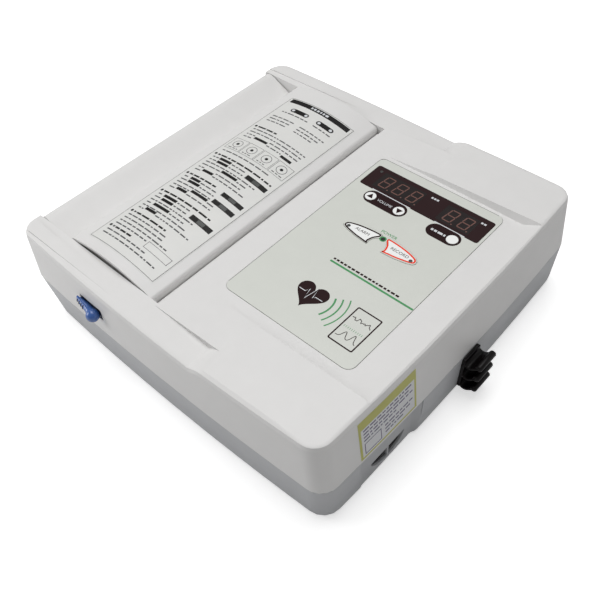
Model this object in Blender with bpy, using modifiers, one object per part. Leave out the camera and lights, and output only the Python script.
"""Desktop cardiotocograph: two-part housing, chart printer under a hinged door, sloping keypad.

X runs to the user's right, Y to the back, Z up. The sizes below are measured from the middle of
the housing, on the table; at the end everything moves so that the origin lies under the middle of
the whole outline, cable clip and lever knob included. All lengths are metres.
"""
import math

import bmesh
import bpy
from mathutils import Matrix, Vector

MM = 0.001
DEG = math.pi / 180

# Fits.
SEAT_GAP = 0.3 * MM            # air left between two pieces that touch
RUN_GAP = 0.3 * MM             # radial clearance of a turning or sliding fit
CUT_OVER = 4.0 * MM            # how far a cutter runs past what it cuts

# Housing.
CASE_WIDTH = 305.0 * MM        # at the parting line, where the walls are widest
CASE_DEPTH = 294.0 * MM
FOOT_HEIGHT = 3.0 * MM         # what the rubber feet lift the base by
BASE_HEIGHT = 38.0 * MM        # grey base, from its underside to the parting line
COVER_HEIGHT = 46.0 * MM       # white cover, from the parting line to the rails' left ends
WALL = 2.5 * MM
CORNER_RADIUS = 14.0 * MM
TOP_FILLET = 3.5 * MM          # soft upper edge of the cover
BASE_FILLET = 3.0 * MM
FRONT_BOW = 3.4 * MM           # how far the long sides swell between their corners
LEFT_BOW = 0.8 * MM
RIGHT_BOW = 2.9 * MM
COVER_DRAFT_FRONT = 1.6 * MM   # how far each wall leans in over the cover's height
COVER_DRAFT_LEFT = 3.2 * MM
COVER_DRAFT_RIGHT = 4.0 * MM
BASE_DRAFT_FRONT = 2.5 * MM    # and over the base's height
BASE_DRAFT_LEFT = 11.0 * MM
BASE_DRAFT_RIGHT = 1.7 * MM
PARTING_Z = FOOT_HEIGHT + BASE_HEIGHT
COVER_BOTTOM_Z = PARTING_Z + SEAT_GAP
RAIL_TOP_Z = PARTING_Z + COVER_HEIGHT
FLOOR_Z = FOOT_HEIGHT + WALL   # inner floor of the base
LEFT_EDGE = -CASE_WIDTH / 2
RIGHT_EDGE = CASE_WIDTH / 2
FRONT_EDGE = -CASE_DEPTH / 2
BACK_EDGE = CASE_DEPTH / 2

# rails and console, in the side view; the console is as wide as its panel, the bay takes the rest
RAIL_DROP = 6.0 * MM           # the rails fall this much by the foot of the step
STEP_IN = 112.5 * MM           # foot of the step between rail and console, from the right edge
STEP_X = RIGHT_EDGE - STEP_IN
STEP_RUN = 14.0 * MM
STEP_RISE = 5.0 * MM
CONSOLE_RISE = 1.3 * MM        # the console climbs on to its right edge
RAIL_WIDTH = 25.0 * MM         # each rail, from the front or back edge to the bay
BAY_HALF = BACK_EDGE - RAIL_WIDTH   # half the clear width between the rails
STRIP_SINK = 1.2 * MM          # the rails' outer and inner strips lie this far down at the left end
STRIP_OUTER_IN = 8.8 * MM      # the raised middle strip starts this far in from the front or back edge
STRIP_OUTER = BACK_EDGE - STRIP_OUTER_IN
STRIP_INNER_WIDTH = 4.8 * MM   # and ends this far from the bay at the left end
STRIP_INNER = BAY_HALF + STRIP_INNER_WIDTH
STRIP_INNER_END_WIDTH = 9.2 * MM # and this far where it runs out
STRIP_INNER_END = BAY_HALF + STRIP_INNER_END_WIDTH
RAIL_WALL = 2.5 * MM
GUTTER_WIDTH = 7.5 * MM        # paper slot between door and console
GUTTER_WALL_DEPTH = 18.5 * MM
LEFT_WALL_DROP = 31.5 * MM     # cover's wall under the door's left end, under the rails' left ends
PANEL_LEFT_DROP = 4.1 * MM     # console at the slot lies this far under the rails' left ends
ROOF = 2.5 * MM

# sunk keypad panel
PANEL_RIGHT_IN = 5.5 * MM      # top of the band that climbs to the right edge, from that edge
PANEL_RIGHT_X = RIGHT_EDGE - PANEL_RIGHT_IN
PANEL_CREASE_IN = 19.5 * MM    # its lowest line
PANEL_CREASE_X = RIGHT_EDGE - PANEL_CREASE_IN
PANEL_LEFT_SINK = 3.15 * MM    # depth under the rails' left ends, at the left line
PANEL_CREASE_SINK = 5.2 * MM   # and at the crease
PANEL_END_IN = 54.0 * MM       # its floor ends this far from the front and back edges
PANEL_HALF = BACK_EDGE - PANEL_END_IN   # half depth of the floor
PANEL_SIDE_LEAN = 2.6 * MM     # its front and back walls lean out this much at the crease

# keypad sheet and what it shows, from the panel's left line along the plane
OVERLAY_LEFT = 2.0 * MM
OVERLAY_WIDTH = 110.5 * MM
OVERLAY_RIGHT = 12.5 * MM      # from the sheet to the crease
PANEL_LEFT_X = PANEL_CREASE_X - OVERLAY_LEFT - OVERLAY_WIDTH - OVERLAY_RIGHT
CONSOLE_LEFT = 20.5 * MM       # from the sunk plane to the paper slot
BAY_RIGHT_X = PANEL_LEFT_X - CONSOLE_LEFT
STRIP_END = 29.5 * MM          # the rails' strips run out level this far left of the paper slot
STRIP_END_X = BAY_RIGHT_X - STRIP_END
OVERLAY_END = 6.0 * MM         # from the sheet to the floor's ends, on average
OVERLAY_DEPTH = 2 * (PANEL_HALF - OVERLAY_END)
OVERLAY_MIDDLE = 3.2 * MM      # its centre lies this far behind the housing's middle
OVERLAY_BACK = OVERLAY_MIDDLE + OVERLAY_DEPTH / 2
SHEET_RIGHT = OVERLAY_LEFT + OVERLAY_WIDTH
SHEET_MIDDLE = OVERLAY_LEFT + OVERLAY_WIDTH / 2
OVERLAY_THICK = 0.8 * MM
OVERLAY_PROUD = 0.3 * MM
OVERLAY_CORNER = 6.0 * MM
WINDOW_IN_LEFT = 4.2 * MM      # window, from the sheet's left, right and back edges
WINDOW_LEFT = OVERLAY_LEFT + WINDOW_IN_LEFT
WINDOW_IN_RIGHT = 2.3 * MM
WINDOW_WIDTH = SHEET_RIGHT - WINDOW_IN_RIGHT - WINDOW_LEFT
WINDOW_DEPTH = 24.8 * MM
WINDOW_IN_BACK = 21.4 * MM     # to its middle
WINDOW_MIDDLE = OVERLAY_BACK - WINDOW_IN_BACK
WINDOW_THICK = 2.0 * MM
WINDOW_LEDGE = 1.5 * MM
WINDOW_CORNER = 1.5 * MM
DIGIT_WIDTH = 12.7 * MM
DIGIT_DEPTH = 19.0 * MM
DIGIT_BLOCK_HEIGHT = 6.5 * MM
RATE_DIGITS = 3
TOCO_DIGITS = 2
RATE_BLOCK_IN = 10.8 * MM      # digit blocks, from the window's left and right edges
RATE_BLOCK_LEFT = WINDOW_LEFT + RATE_BLOCK_IN
TOCO_BLOCK_IN = 35.0 * MM
TOCO_BLOCK_LEFT = WINDOW_LEFT + WINDOW_WIDTH - TOCO_BLOCK_IN
DIGIT_FACE_RECESS = 0.4 * MM
SEGMENT_LENGTH = 6.0 * MM
SEGMENT_WIDTH = 1.1 * MM
BOARD_THICK = 1.6 * MM
BOARD_MARGIN = 6.0 * MM
BOARD_REACH = 104.2 * MM       # front edge of the display board, from the sheet's back edge
BOARD_FRONT = OVERLAY_BACK - BOARD_REACH
BOARD_BACK = OVERLAY_BACK - SEAT_GAP
POST_RADIUS = 3.0 * MM
BOARD_SCREW_RADIUS = 2.6 * MM
BOARD_SCREW_HEAD = 1.8 * MM

KEY_RADIUS = 4.3 * MM
KEY_TRAVEL = 0.4 * MM
KEY_PROUD = 0.3 * MM           # above the sheet
KEY_CAP_THICK = 0.7 * MM
KEY_STEM_RADIUS = 1.6 * MM
SWITCH_SIDE = 6.0 * MM
SWITCH_FREE_PLAY = 0.4 * MM    # left under a pressed key
ROUND_KEYS_IN = 41.4 * MM      # round keys, from the sheet's back edge
VOLUME_UP_IN = 20.9 * MM       # from its left edge
VOLUME_UP_AT = (OVERLAY_LEFT + VOLUME_UP_IN, OVERLAY_BACK - ROUND_KEYS_IN)
VOLUME_DOWN_IN = 46.8 * MM
VOLUME_DOWN_AT = (OVERLAY_LEFT + VOLUME_DOWN_IN, OVERLAY_BACK - ROUND_KEYS_IN)
REFERENCE_IN = 17.3 * MM       # from its right edge
REFERENCE_AT = (SHEET_RIGHT - REFERENCE_IN, OVERLAY_BACK - ROUND_KEYS_IN)
LEAF_LENGTH = 30.0 * MM        # alarm and record keys
LEAF_DEPTH = 15.0 * MM
ALARM_REACH = 30.85 * MM       # their left ends, left and right of the sheet's middle
ALARM_LEFT = SHEET_MIDDLE - ALARM_REACH
ALARM_IN = 82.6 * MM           # their front ends, from the sheet's back edge
ALARM_FRONT = OVERLAY_BACK - ALARM_IN
RECORD_REACH = 2.35 * MM
RECORD_LEFT = SHEET_MIDDLE + RECORD_REACH
RECORD_IN = 82.8 * MM
RECORD_FRONT = OVERLAY_BACK - RECORD_IN
# outline of the leaf as shares of its length and depth, from its round tip
LEAF_SHARES = ((0.0, 0.40), (0.015, 0.56), (0.10, 0.72), (0.30, 0.88), (0.52, 0.97), (0.86, 1.0),
               (0.97, 0.92), (0.96, 0.66), (0.86, 0.50), (0.82, 0.26), (0.84, 0.02), (0.50, 0.09),
               (0.20, 0.20), (0.05, 0.29))
RECORD_SHARES = ((1.0, 0.40), (0.985, 0.56), (0.90, 0.72), (0.66, 0.90), (0.36, 0.99), (0.05, 1.0),
                 (0.02, 0.78), (0.12, 0.58), (0.17, 0.30), (0.15, 0.02), (0.50, 0.06),
                 (0.80, 0.17), (0.95, 0.27))
LEAF_STEM_SHARE = 0.42
LED_RADIUS = 1.5 * MM
LED_LENGTH = 3.0 * MM
POWER_LED_REACH = 0.55 * MM
POWER_LED_IN = 71.3 * MM
POWER_LED_AT = (SHEET_MIDDLE + POWER_LED_REACH, OVERLAY_BACK - POWER_LED_IN)
ALARM_LED_SHARES = (0.10, 0.46)

# Printer door.
DOOR_END_GAP = 0.5 * MM        # to the rails' inner walls
DOOR_SKIN = 2.5 * MM
DOOR_LIP_IN = 10.5 * MM        # crest of the left lip, from the left edge
DOOR_LIP_X = LEFT_EDGE + DOOR_LIP_IN
DOOR_LIP_SINK = 1.4 * MM       # lip, under the rails' left ends
DOOR_SKIRT_HEIGHT = 27.6 * MM  # left skirt, under the lip
VALLEY_IN = 34.0 * MM
VALLEY_X = LEFT_EDGE + VALLEY_IN
VALLEY_DEPTH = 11.0 * MM       # valley crease, under the lip
ARCH_IN = 44.5 * MM
ARCH_LEFT_X = LEFT_EDGE + ARCH_IN
ARCH_LEFT_SINK = 1.4 * MM      # arch's left foot, under the rails' left ends
ARCH_RIGHT = 11.0 * MM         # from the arch's right foot to the console
ARCH_RIGHT_X = BAY_RIGHT_X - ARCH_RIGHT
ARCH_RIGHT_SINK = 5.2 * MM
ARCH_RISE = 6.8 * MM           # sagitta of the arch
ARCH_STEPS = 14
NOSE_RADIUS = 3.4 * MM         # bullnose at the paper slot
NOSE_FLANGE = 4.0 * MM         # straight drop under it
CHEEK_INSET = 2.0 * MM         # cheeks stand this far in from the door's ends
CHEEK_THICK = 2.5 * MM
CHEEK_ARM = 6.5 * MM           # half height of a cheek round its pins
RIB_THICK = 2.0 * MM
RIB_COUNT = 3
HINGE_IN = 11.5 * MM
HINGE_X = LEFT_EDGE + HINGE_IN
HINGE_DROP = 20.0 * MM         # under the rails' left ends
HINGE_Z = RAIL_TOP_Z - HINGE_DROP
HINGE_ROD_RADIUS = 2.5 * MM
BARREL_RADIUS = 5.0 * MM

# Printer.
PLATEN_LEFT = 15.0 * MM        # platen's axis, left of the console
PLATEN_X = BAY_RIGHT_X - PLATEN_LEFT
PLATEN_Z = HINGE_Z             # level with the hinge, so it lifts straight off the head
PLATEN_RADIUS = 7.0 * MM
PLATEN_END = 14.0 * MM         # from the rubber to the rail
PLATEN_LENGTH = 2 * (BAY_HALF - PLATEN_END)
PLATEN_SHAFT_RADIUS = 2.5 * MM
PLATEN_CORE_RADIUS = 4.0 * MM
GEAR_MODULE = 0.8 * MM
GEAR_WIDTH = 4.0 * MM
GEAR_SIDE_GAP = 0.5 * MM
PLATEN_TEETH = 18
IDLER_TEETH = 28
PINION_TEETH = 20
TOOTH_BACKLASH = 0.36 * MM
GEAR_ADDENDUM_SHARE = 0.84
GEAR_DEDENDUM_SHARE = 1.25
GEAR_ROOT_SHARE = 1.45         # half thickness of a tooth at its root and tip, to that at the pitch line
GEAR_TIP_SHARE = 0.5
PINION_ANGLE = -12 * DEG       # from the idler to the pinion
IDLER_PIN_RADIUS = 2.0 * MM
IDLER_HEAD_RADIUS = 3.4 * MM
IDLER_HEAD_THICK = 1.2 * MM
MOTOR_RADIUS = 14.0 * MM
MOTOR_LENGTH = 20.0 * MM
MOTOR_BOSS_RADIUS = 5.0 * MM
MOTOR_BOSS_LENGTH = 1.2 * MM
MOTOR_SHAFT_RADIUS = 1.5 * MM
MOTOR_EDGE = 1.0 * MM
CHASSIS_THICK = 1.5 * MM
CHASSIS_END = 10.5 * MM        # from the frame's side plates to the rails
CHASSIS_HALF = BAY_HALF - CHASSIS_END   # outer faces of the side plates
CHASSIS_LEFT = 34.5 * MM       # it reaches this far left and right of the console's side of the slot
CHASSIS_LEFT_X = BAY_RIGHT_X - CHASSIS_LEFT
CHASSIS_RIGHT = 21.5 * MM
CHASSIS_RIGHT_X = BAY_RIGHT_X + CHASSIS_RIGHT
CHASSIS_TOP_DROP = 4.0 * MM    # top of the side plates and shelf, under the platen's axis
CHASSIS_TOP_Z = PLATEN_Z - CHASSIS_TOP_DROP
CHASSIS_SHELF_DROP = 25.0 * MM
CHASSIS_SHELF_Z = PLATEN_Z - CHASSIS_SHELF_DROP
CHASSIS_FOOT = 9.0 * MM
HEAD_LENGTH = PLATEN_LENGTH
HEAD_LEFT = 20.0 * MM          # head reaches this far left of the print line
HEAD_RIGHT = 3.5 * MM
CERAMIC_THICK = 1.0 * MM
SINK_THICK = 8.0 * MM
SINK_GROOVE = 3.0 * MM
SINK_GROOVES = 3
HEAD_SPRING_RADIUS = 3.0 * MM
HEAD_SPRING_WIRE = 0.45 * MM
HEAD_SPRING_TURNS = 4
HEAD_SPRING_IN = 49.5 * MM     # from the side plates' outer faces
HEAD_SPRING_OFFSET = CHASSIS_HALF - HEAD_SPRING_IN

TRAY_END = 10.0 * MM           # from the paper tray to the rails
TRAY_HALF = BAY_HALF - TRAY_END   # outer faces of the paper tray's ends
TRAY_WALL = 2.0 * MM
TRAY_IN = 15.0 * MM
TRAY_LEFT_X = LEFT_EDGE + TRAY_IN
TRAY_RIGHT = 37.0 * MM         # from its right wall to the console
TRAY_RIGHT_X = BAY_RIGHT_X - TRAY_RIGHT
TRAY_TOP_DROP = 17.0 * MM      # under the hinge's axis
TRAY_TOP_Z = HINGE_Z - TRAY_TOP_DROP
TRAY_CORNER = 5.0 * MM
TRAY_NOTCH = 26.0 * MM         # width of the finger notch in its left wall
TRAY_NOTCH_DEPTH = 14.0 * MM
PACK_AIR = 2.0 * MM            # between the pack of paper and the tray
PACK_LENGTH_X = TRAY_RIGHT_X - TRAY_LEFT_X - 2 * (TRAY_WALL + PACK_AIR) # one folded page
PACK_END = 8.0 * MM            # air at either end of the pack
PACK_WIDTH = 2 * (TRAY_HALF - TRAY_WALL - PACK_END)
PACK_HEIGHT = 30.0 * MM
PACK_FOLDS = 10                # bundles of folds shown on each end
PACK_FOLD_DEPTH = 0.7 * MM

# Release lever.
LEVER_LEFT = 52.0 * MM         # middle of its slot, left of the console # middle of its slot
LEVER_X = BAY_RIGHT_X - LEVER_LEFT
LEVER_DROP = 5.0 * MM          # under the hinge's axis
LEVER_Z = HINGE_Z - LEVER_DROP
LEVER_SLOT_LENGTH = 25.0 * MM
LEVER_SLOT_HEIGHT = 10.6 * MM
LEVER_SLOT_CORNER = 1.5 * MM
LEVER_DRUM_RADIUS = 5.0 * MM
LEVER_DRUM_LENGTH = 23.4 * MM
LEVER_DRUM_PROUD = 0.4 * MM
LEVER_SHAFT_RADIUS = 1.8 * MM
LEVER_RIGHT = 23.5 * MM        # right end of the shaft, left of the console # right end of the shaft
LEVER_RIGHT_X = BAY_RIGHT_X - LEVER_RIGHT
KNOB_RADIUS = 4.8 * MM
KNOB_NECK = 3.0 * MM
KNOB_OUT = 4.0 * MM            # ball centre, in front of the wall
KNOB_RIGHT = 6.7 * MM          # and right of the slot's middle
KNOB_DOWN = 0.3 * MM
CATCH_LEFT = 30.5 * MM         # arm that reaches through the rail to the door's catch tab, left of the console # arm that reaches through the rail to the door's catch tab
CATCH_X = BAY_RIGHT_X - CATCH_LEFT
CATCH_WIDTH = 5.0 * MM
CATCH_THICK = 3.0 * MM
CATCH_SET = 3.0 * MM           # middle of the arm's plate, behind the lever's axis
CATCH_DROP = 14.0 * MM         # under the lever's axis
CATCH_Z = LEVER_Z - CATCH_DROP
CATCH_SWING = 9.0 * MM         # room under the arm in the rail's wall
CATCH_HOLE = 7.5 * MM
CATCH_TAB = 13.0 * MM
CATCH_AIR = 1.0 * MM           # between the arm's end and the tab
LEVER_RIB = 2.0 * MM
LEVER_SPRING_WIRE = 0.35 * MM
LEVER_SPRING_TURNS = 4
LEVER_SPRING_LENGTH = 6.0 * MM
GRIP_RIBS = 4
GRIP_RIB = 0.7 * MM

# Base details.
RECESS_IN = 35.0 * MM          # socket recess in the right wall, from the front edge # ends of the socket recess in the right wall
RECESS_FRONT = FRONT_EDGE + RECESS_IN
RECESS_LENGTH = 65.0 * MM
RECESS_BACK = RECESS_FRONT + RECESS_LENGTH
RECESS_DEPTH = 5.0 * MM
RECESS_BLEND = 7.0 * MM
SOCKET_IN = 34.0 * MM          # middle of the sockets, from the recess's front end
SOCKET_MIDDLE = RECESS_FRONT + SOCKET_IN
SOCKET_HALF = 17.5 * MM        # half length of the boat-shaped mouth
SOCKET_RISE = 12.0 * MM        # top of the mouth, above the inner floor
SOCKET_TOP_Z = FLOOR_Z + SOCKET_RISE
SOCKET_DEEP = 10.5 * MM        # height of the mouth
SOCKET_RIB = 1.6 * MM
SOCKET_BLOCK_DEPTH = 16.0 * MM
SOCKET_BLOCK_RISE = 18.5 * MM
SOCKET_BLOCK_TOP = FLOOR_Z + SOCKET_BLOCK_RISE
SOCKET_CAVITY = 11.0 * MM
SOCKET_TONGUE = 1.6 * MM
FOOT_RADIUS = 8.0 * MM
FOOT_SEAT = 1.0 * MM
FOOT_IN_X = 40.5 * MM          # feet and case screws, from the edges
FOOT_X = RIGHT_EDGE - FOOT_IN_X
FOOT_IN_Y = 29.0 * MM
FOOT_Y = BACK_EDGE - FOOT_IN_Y
SCREW_IN_X = 19.5 * MM
SCREW_X = RIGHT_EDGE - SCREW_IN_X
SCREW_IN_Y = 14.0 * MM
SCREW_Y = BACK_EDGE - SCREW_IN_Y
SCREW_POST = 4.5 * MM
SCREW_SHANK = 1.5 * MM
SCREW_HEAD = 3.0 * MM
SCREW_HEAD_THICK = 2.0 * MM
SCREW_BITE = 10.0 * MM         # thread in the cover's posts
SCREW_LENGTH = BASE_HEIGHT + SCREW_BITE
SPEAKER_IN_X = 90.5 * MM       # speaker, from the right and front edges
SPEAKER_X = RIGHT_EDGE - SPEAKER_IN_X
SPEAKER_IN_Y = 41.0 * MM
SPEAKER_Y = FRONT_EDGE + SPEAKER_IN_Y
SPEAKER_RADIUS = 22.0 * MM
SPEAKER_HEIGHT = 16.0 * MM
SPEAKER_MAGNET = 12.0 * MM
GRILLE_SLOTS = 7
GRILLE_SLOT = 2.0 * MM
GRILLE_PITCH = 5.0 * MM
SUPPLY_IN = 68.5 * MM          # power supply, from the right edge
SUPPLY_RIGHT = RIGHT_EDGE - SUPPLY_IN
SUPPLY_GAP = 11.0 * MM          # from the printer's frame
SUPPLY_LEFT = CHASSIS_RIGHT_X + SUPPLY_GAP
SUPPLY_BACK_IN = 23.0 * MM     # and from the back edge
SUPPLY_BACK = BACK_EDGE - SUPPLY_BACK_IN
SUPPLY_DEPTH = 52.0 * MM
SUPPLY_FRONT = SUPPLY_BACK - SUPPLY_DEPTH
MAIN_BOARD_IN = 32.5 * MM      # main board, from the right edge
MAIN_BOARD_RIGHT = RIGHT_EDGE - MAIN_BOARD_IN
MAIN_BOARD_LEFT = SUPPLY_LEFT + POST_RADIUS
MAIN_BOARD_FRONT_IN = 75.0 * MM   # from the front edge, and from the power supply
MAIN_BOARD_FRONT = FRONT_EDGE + MAIN_BOARD_FRONT_IN
MAIN_BOARD_GAP = 10.0 * MM
MAIN_BOARD_BACK = SUPPLY_FRONT - MAIN_BOARD_GAP
MAIN_BOARD_LIFT = 7.0 * MM
SUPPLY_HEIGHT = 24.0 * MM

# rear sockets, in the base's back wall
REAR_Z = FOOT_HEIGHT + BASE_HEIGHT / 2
INLET_IN = 44.5 * MM           # from the right edge
INLET_X = RIGHT_EDGE - INLET_IN
INLET_WIDTH = 27.0 * MM
INLET_HEIGHT = 19.5 * MM
INLET_DEPTH = 19.0 * MM
INLET_BLADE = 2.0 * MM
INLET_FREE = 5.0 * MM          # blades end this far inside the mouth
INLET_FLANGE = 3.0 * MM
INLET_FLANGE_THICK = 1.6 * MM
ROCKER_IN = 80.5 * MM
ROCKER_X = RIGHT_EDGE - ROCKER_IN
ROCKER_WIDTH = 12.0 * MM
ROCKER_HEIGHT = 19.0 * MM
ROCKER_FRAME = 2.0 * MM
ROCKER_DEPTH = 13.0 * MM
ROCKER_TILT = 9 * DEG
ROCKER_PIN = 1.2 * MM
PORT_IN = 122.5 * MM
PORT_X = RIGHT_EDGE - PORT_IN
PORT_WIDTH = 17.0 * MM
PORT_HEIGHT = 9.0 * MM
PORT_PLATE = 31.0 * MM
PORT_DEPTH = 9.0 * MM
PORT_SHELL = 1.0 * MM

# cable clip on the right wall
CLIP_Y = 7.0 * MM
CLIP_WIDTH = 14.0 * MM
CLIP_Z = REAR_Z                # middle of its plate
CLIP_HEIGHT = 32.0 * MM
CLIP_PLATE = 2.4 * MM
CLIP_REACH = 13.0 * MM
CLIP_HOOK = 1.8 * MM           # thickness of a hook's arm
CLIP_DIP = 2.2 * MM            # the arm drops this far to its thick, round lip
CLIP_LIP_RADIUS = 2.3 * MM
CLIP_PITCH = 12.4 * MM
CLIP_HOOKS = 3
CLIP_SCREW = 1.3 * MM
CLIP_SCREW_HEAD = 0.8 * MM

PARTS = "cardiotocograph"
CUTTERS = "cutters"


# Scene and helpers.
def clear_scene():
    for ob in list(bpy.data.objects):
        bpy.data.objects.remove(ob, do_unlink=True)
    for name in (PARTS, CUTTERS):
        col = bpy.data.collections.get(name) or bpy.data.collections.new(name)
        if col.name not in bpy.context.scene.collection.children:
            bpy.context.scene.collection.children.link(col)


def finish(name, colour, rough, metal=0.0):
    mat = bpy.data.materials.get(name)
    if mat is None:
        mat = bpy.data.materials.new(name)
        mat.use_nodes = True
        shader = mat.node_tree.nodes["Principled BSDF"]
        shader.inputs["Base Color"].default_value = (*colour, 1.0)
        shader.inputs["Roughness"].default_value = rough
        shader.inputs["Metallic"].default_value = metal
    return mat


def white_plastic():
    return finish("white_abs", (0.70, 0.70, 0.68), 0.48)


def grey_plastic():
    return finish("grey_abs", (0.27, 0.28, 0.29), 0.5)


def black_plastic():
    return finish("black_nylon", (0.012, 0.012, 0.013), 0.32)


def steel():
    return finish("steel", (0.55, 0.56, 0.57), 0.3, 1.0)


def rubber():
    return finish("black_rubber", (0.02, 0.02, 0.02), 0.7)


def board_green():
    return finish("circuit_board", (0.03, 0.17, 0.08), 0.5)


def put(name, mesh, mat=None, cutter=False, smooth=True):
    ob = bpy.data.objects.new(name, mesh)
    bpy.data.collections[CUTTERS if cutter else PARTS].objects.link(ob)
    if cutter:
        ob.hide_render = True
        ob.display_type = "WIRE"
    if mat is not None:
        mesh.materials.append(mat)
    if smooth:
        mesh.shade_smooth()
        mesh.set_sharp_from_angle(angle=30 * DEG)
    return ob


def mesh_of(bm, name):
    bmesh.ops.recalc_face_normals(bm, faces=bm.faces)
    mesh = bpy.data.meshes.new(name)
    bm.to_mesh(mesh)
    bm.free()
    return mesh


def box(name, x, y, z, mat=None, cutter=False):
    """Block between the given pairs of X, Y and Z."""
    bm = bmesh.new()
    bmesh.ops.create_cube(bm, size=1.0)
    size = Vector((x[1] - x[0], y[1] - y[0], z[1] - z[0]))
    mid = Vector((x[0] + x[1], y[0] + y[1], z[0] + z[1])) / 2
    bmesh.ops.transform(bm, verts=bm.verts, matrix=Matrix.Translation(mid) @ Matrix.Diagonal((*size, 1.0)))
    return put(name, mesh_of(bm, name), mat, cutter)


AXES = {"X": Matrix.Rotation(90 * DEG, 4, "Y"), "Y": Matrix.Rotation(-90 * DEG, 4, "X"), "Z": Matrix.Identity(4)}


def rod(name, axis, at, radius, lo, hi, mat=None, cutter=False, sides=24, radius2=None):
    """Cylinder or cone along an axis, through the point `at`, between two places on that axis."""
    bm = bmesh.new()
    bmesh.ops.create_cone(bm, cap_ends=True, segments=sides, radius1=radius,
                          radius2=radius if radius2 is None else radius2, depth=hi - lo)
    mid = Vector(at)
    mid["XYZ".index(axis)] = (lo + hi) / 2
    bmesh.ops.transform(bm, verts=bm.verts, matrix=Matrix.Translation(mid) @ AXES[axis])
    return put(name, mesh_of(bm, name), mat, cutter)


def prism(name, outline, axis, lo, hi, mat=None, cutter=False):
    """Flat outline pushed along an axis. Its points are (X, Z) for Y, (X, Y) for Z, (Y, Z) for X."""
    order = {"Y": lambda a, b: (a, lo, b), "Z": lambda a, b: (a, b, lo), "X": lambda a, b: (lo, a, b)}[axis]
    bm = bmesh.new()
    face = bm.faces.new([bm.verts.new(order(a, b)) for a, b in outline])
    moved = bmesh.ops.extrude_face_region(bm, geom=[face])
    push = Vector((0, 0, 0))
    push["XYZ".index(axis)] = hi - lo
    bmesh.ops.translate(bm, verts=[v for v in moved["geom"] if isinstance(v, bmesh.types.BMVert)], vec=push)
    return put(name, mesh_of(bm, name), mat, cutter)


def turned(name, axis, at, profile, mat=None, cutter=False, sides=24):
    """Profile of (radius, place) pairs, spun round an axis through `at` by a Screw modifier."""
    bm = bmesh.new()
    ring = [bm.verts.new((r, 0, h)) for r, h in profile]
    for a, b in zip(ring, ring[1:]):
        bm.edges.new((a, b))
    if profile[0][0] > 0:
        bm.edges.new((ring[-1], ring[0]))
    mesh = bpy.data.meshes.new(name)
    bm.to_mesh(mesh)
    bm.free()
    ob = put(name, mesh, mat, cutter, smooth=False)
    screw = ob.modifiers.new("turn", "SCREW")
    screw.steps = screw.render_steps = sides
    screw.use_merge_vertices = True
    screw.merge_threshold = 0.00001
    screw.use_smooth_shade = True
    ob.matrix_world = Matrix.Translation(Vector(at)) @ AXES[axis]
    return ob


def boolean(ob, tool, operation):
    mod = ob.modifiers.new(operation.lower(), "BOOLEAN")
    mod.operation = operation
    mod.object = tool
    mod.solver = "EXACT"
    return ob


def cut(ob, *tools):
    for tool in tools:
        boolean(ob, tool, "DIFFERENCE")
    return ob


def join(ob, *tools):
    for tool in tools:
        boolean(ob, tool, "UNION")
    return ob


def coil(name, centre, axis, radius, wire, turns, length, mat, points=6):
    """Open coil of round wire along an axis, with capped ends, worked out point by point."""
    curve = bpy.data.curves.new(name, "CURVE")
    curve.dimensions = "3D"
    curve.bevel_depth = wire
    curve.bevel_resolution = 1
    curve.use_fill_caps = True
    line = curve.splines.new("POLY")
    count = turns * points + 1
    line.points.add(count - 1)
    for i in range(count):
        turn = i / points * math.tau
        along = (i / (count - 1) - 0.5) * length
        spot = AXES[axis] @ Vector((radius * math.cos(turn), radius * math.sin(turn), along))
        line.points[i].co = (*(spot + Vector(centre)), 1.0)
    ob = bpy.data.objects.new(name, curve)
    bpy.data.collections[PARTS].objects.link(ob)
    curve.materials.append(mat)
    return ob


def pivot(ob, at):
    """Moves a piece's origin to a point of its own frame, so that it turns or slides there."""
    at = Vector(at)
    ob.data.transform(Matrix.Translation(-at))
    ob.location = at
    return ob


def rounded(x, y, radius, steps=4):
    """Rectangle with round corners, as (X, Y) points."""
    points = []
    corners = ((x[1] - radius, y[1] - radius), (x[0] + radius, y[1] - radius),
               (x[0] + radius, y[0] + radius), (x[1] - radius, y[0] + radius))
    for quarter, (cx, cy) in enumerate(corners):
        for i in range(steps + 1):
            a = (quarter + i / steps) * math.pi / 2
            points.append((cx + radius * math.cos(a), cy + radius * math.sin(a)))
    return points


def arc(cx, cy, radius, start, end, steps):
    return [(cx + radius * math.cos(a), cy + radius * math.sin(a))
            for a in (start + (end - start) * i / steps for i in range(steps + 1))]


# Housing forms.
def rail_top(x):
    """Height of the rails and of the console's front and back edges, along the housing."""
    left = -CASE_WIDTH / 2
    right = CASE_WIDTH / 2
    foot = RAIL_TOP_Z - RAIL_DROP
    if x <= STEP_X:
        return RAIL_TOP_Z - RAIL_DROP * (x - left) / (STEP_X - left)
    if x <= STEP_X + STEP_RUN:
        return foot + STEP_RISE * math.sin((x - STEP_X) / STEP_RUN * math.pi / 2)
    return foot + STEP_RISE + CONSOLE_RISE * (x - STEP_X - STEP_RUN) / (right - STEP_X - STEP_RUN)


def stations(left, right, bulge):
    """Places along a long side, close together on the step."""
    ramp = [STEP_X + STEP_RUN * i / 4 for i in range(5)]
    before = [left + (STEP_X - left) * i / bulge for i in range(bulge)]
    after = [ramp[-1] + (right - ramp[-1]) * i / 4 for i in range(1, 5)]
    return before + ramp + after


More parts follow.
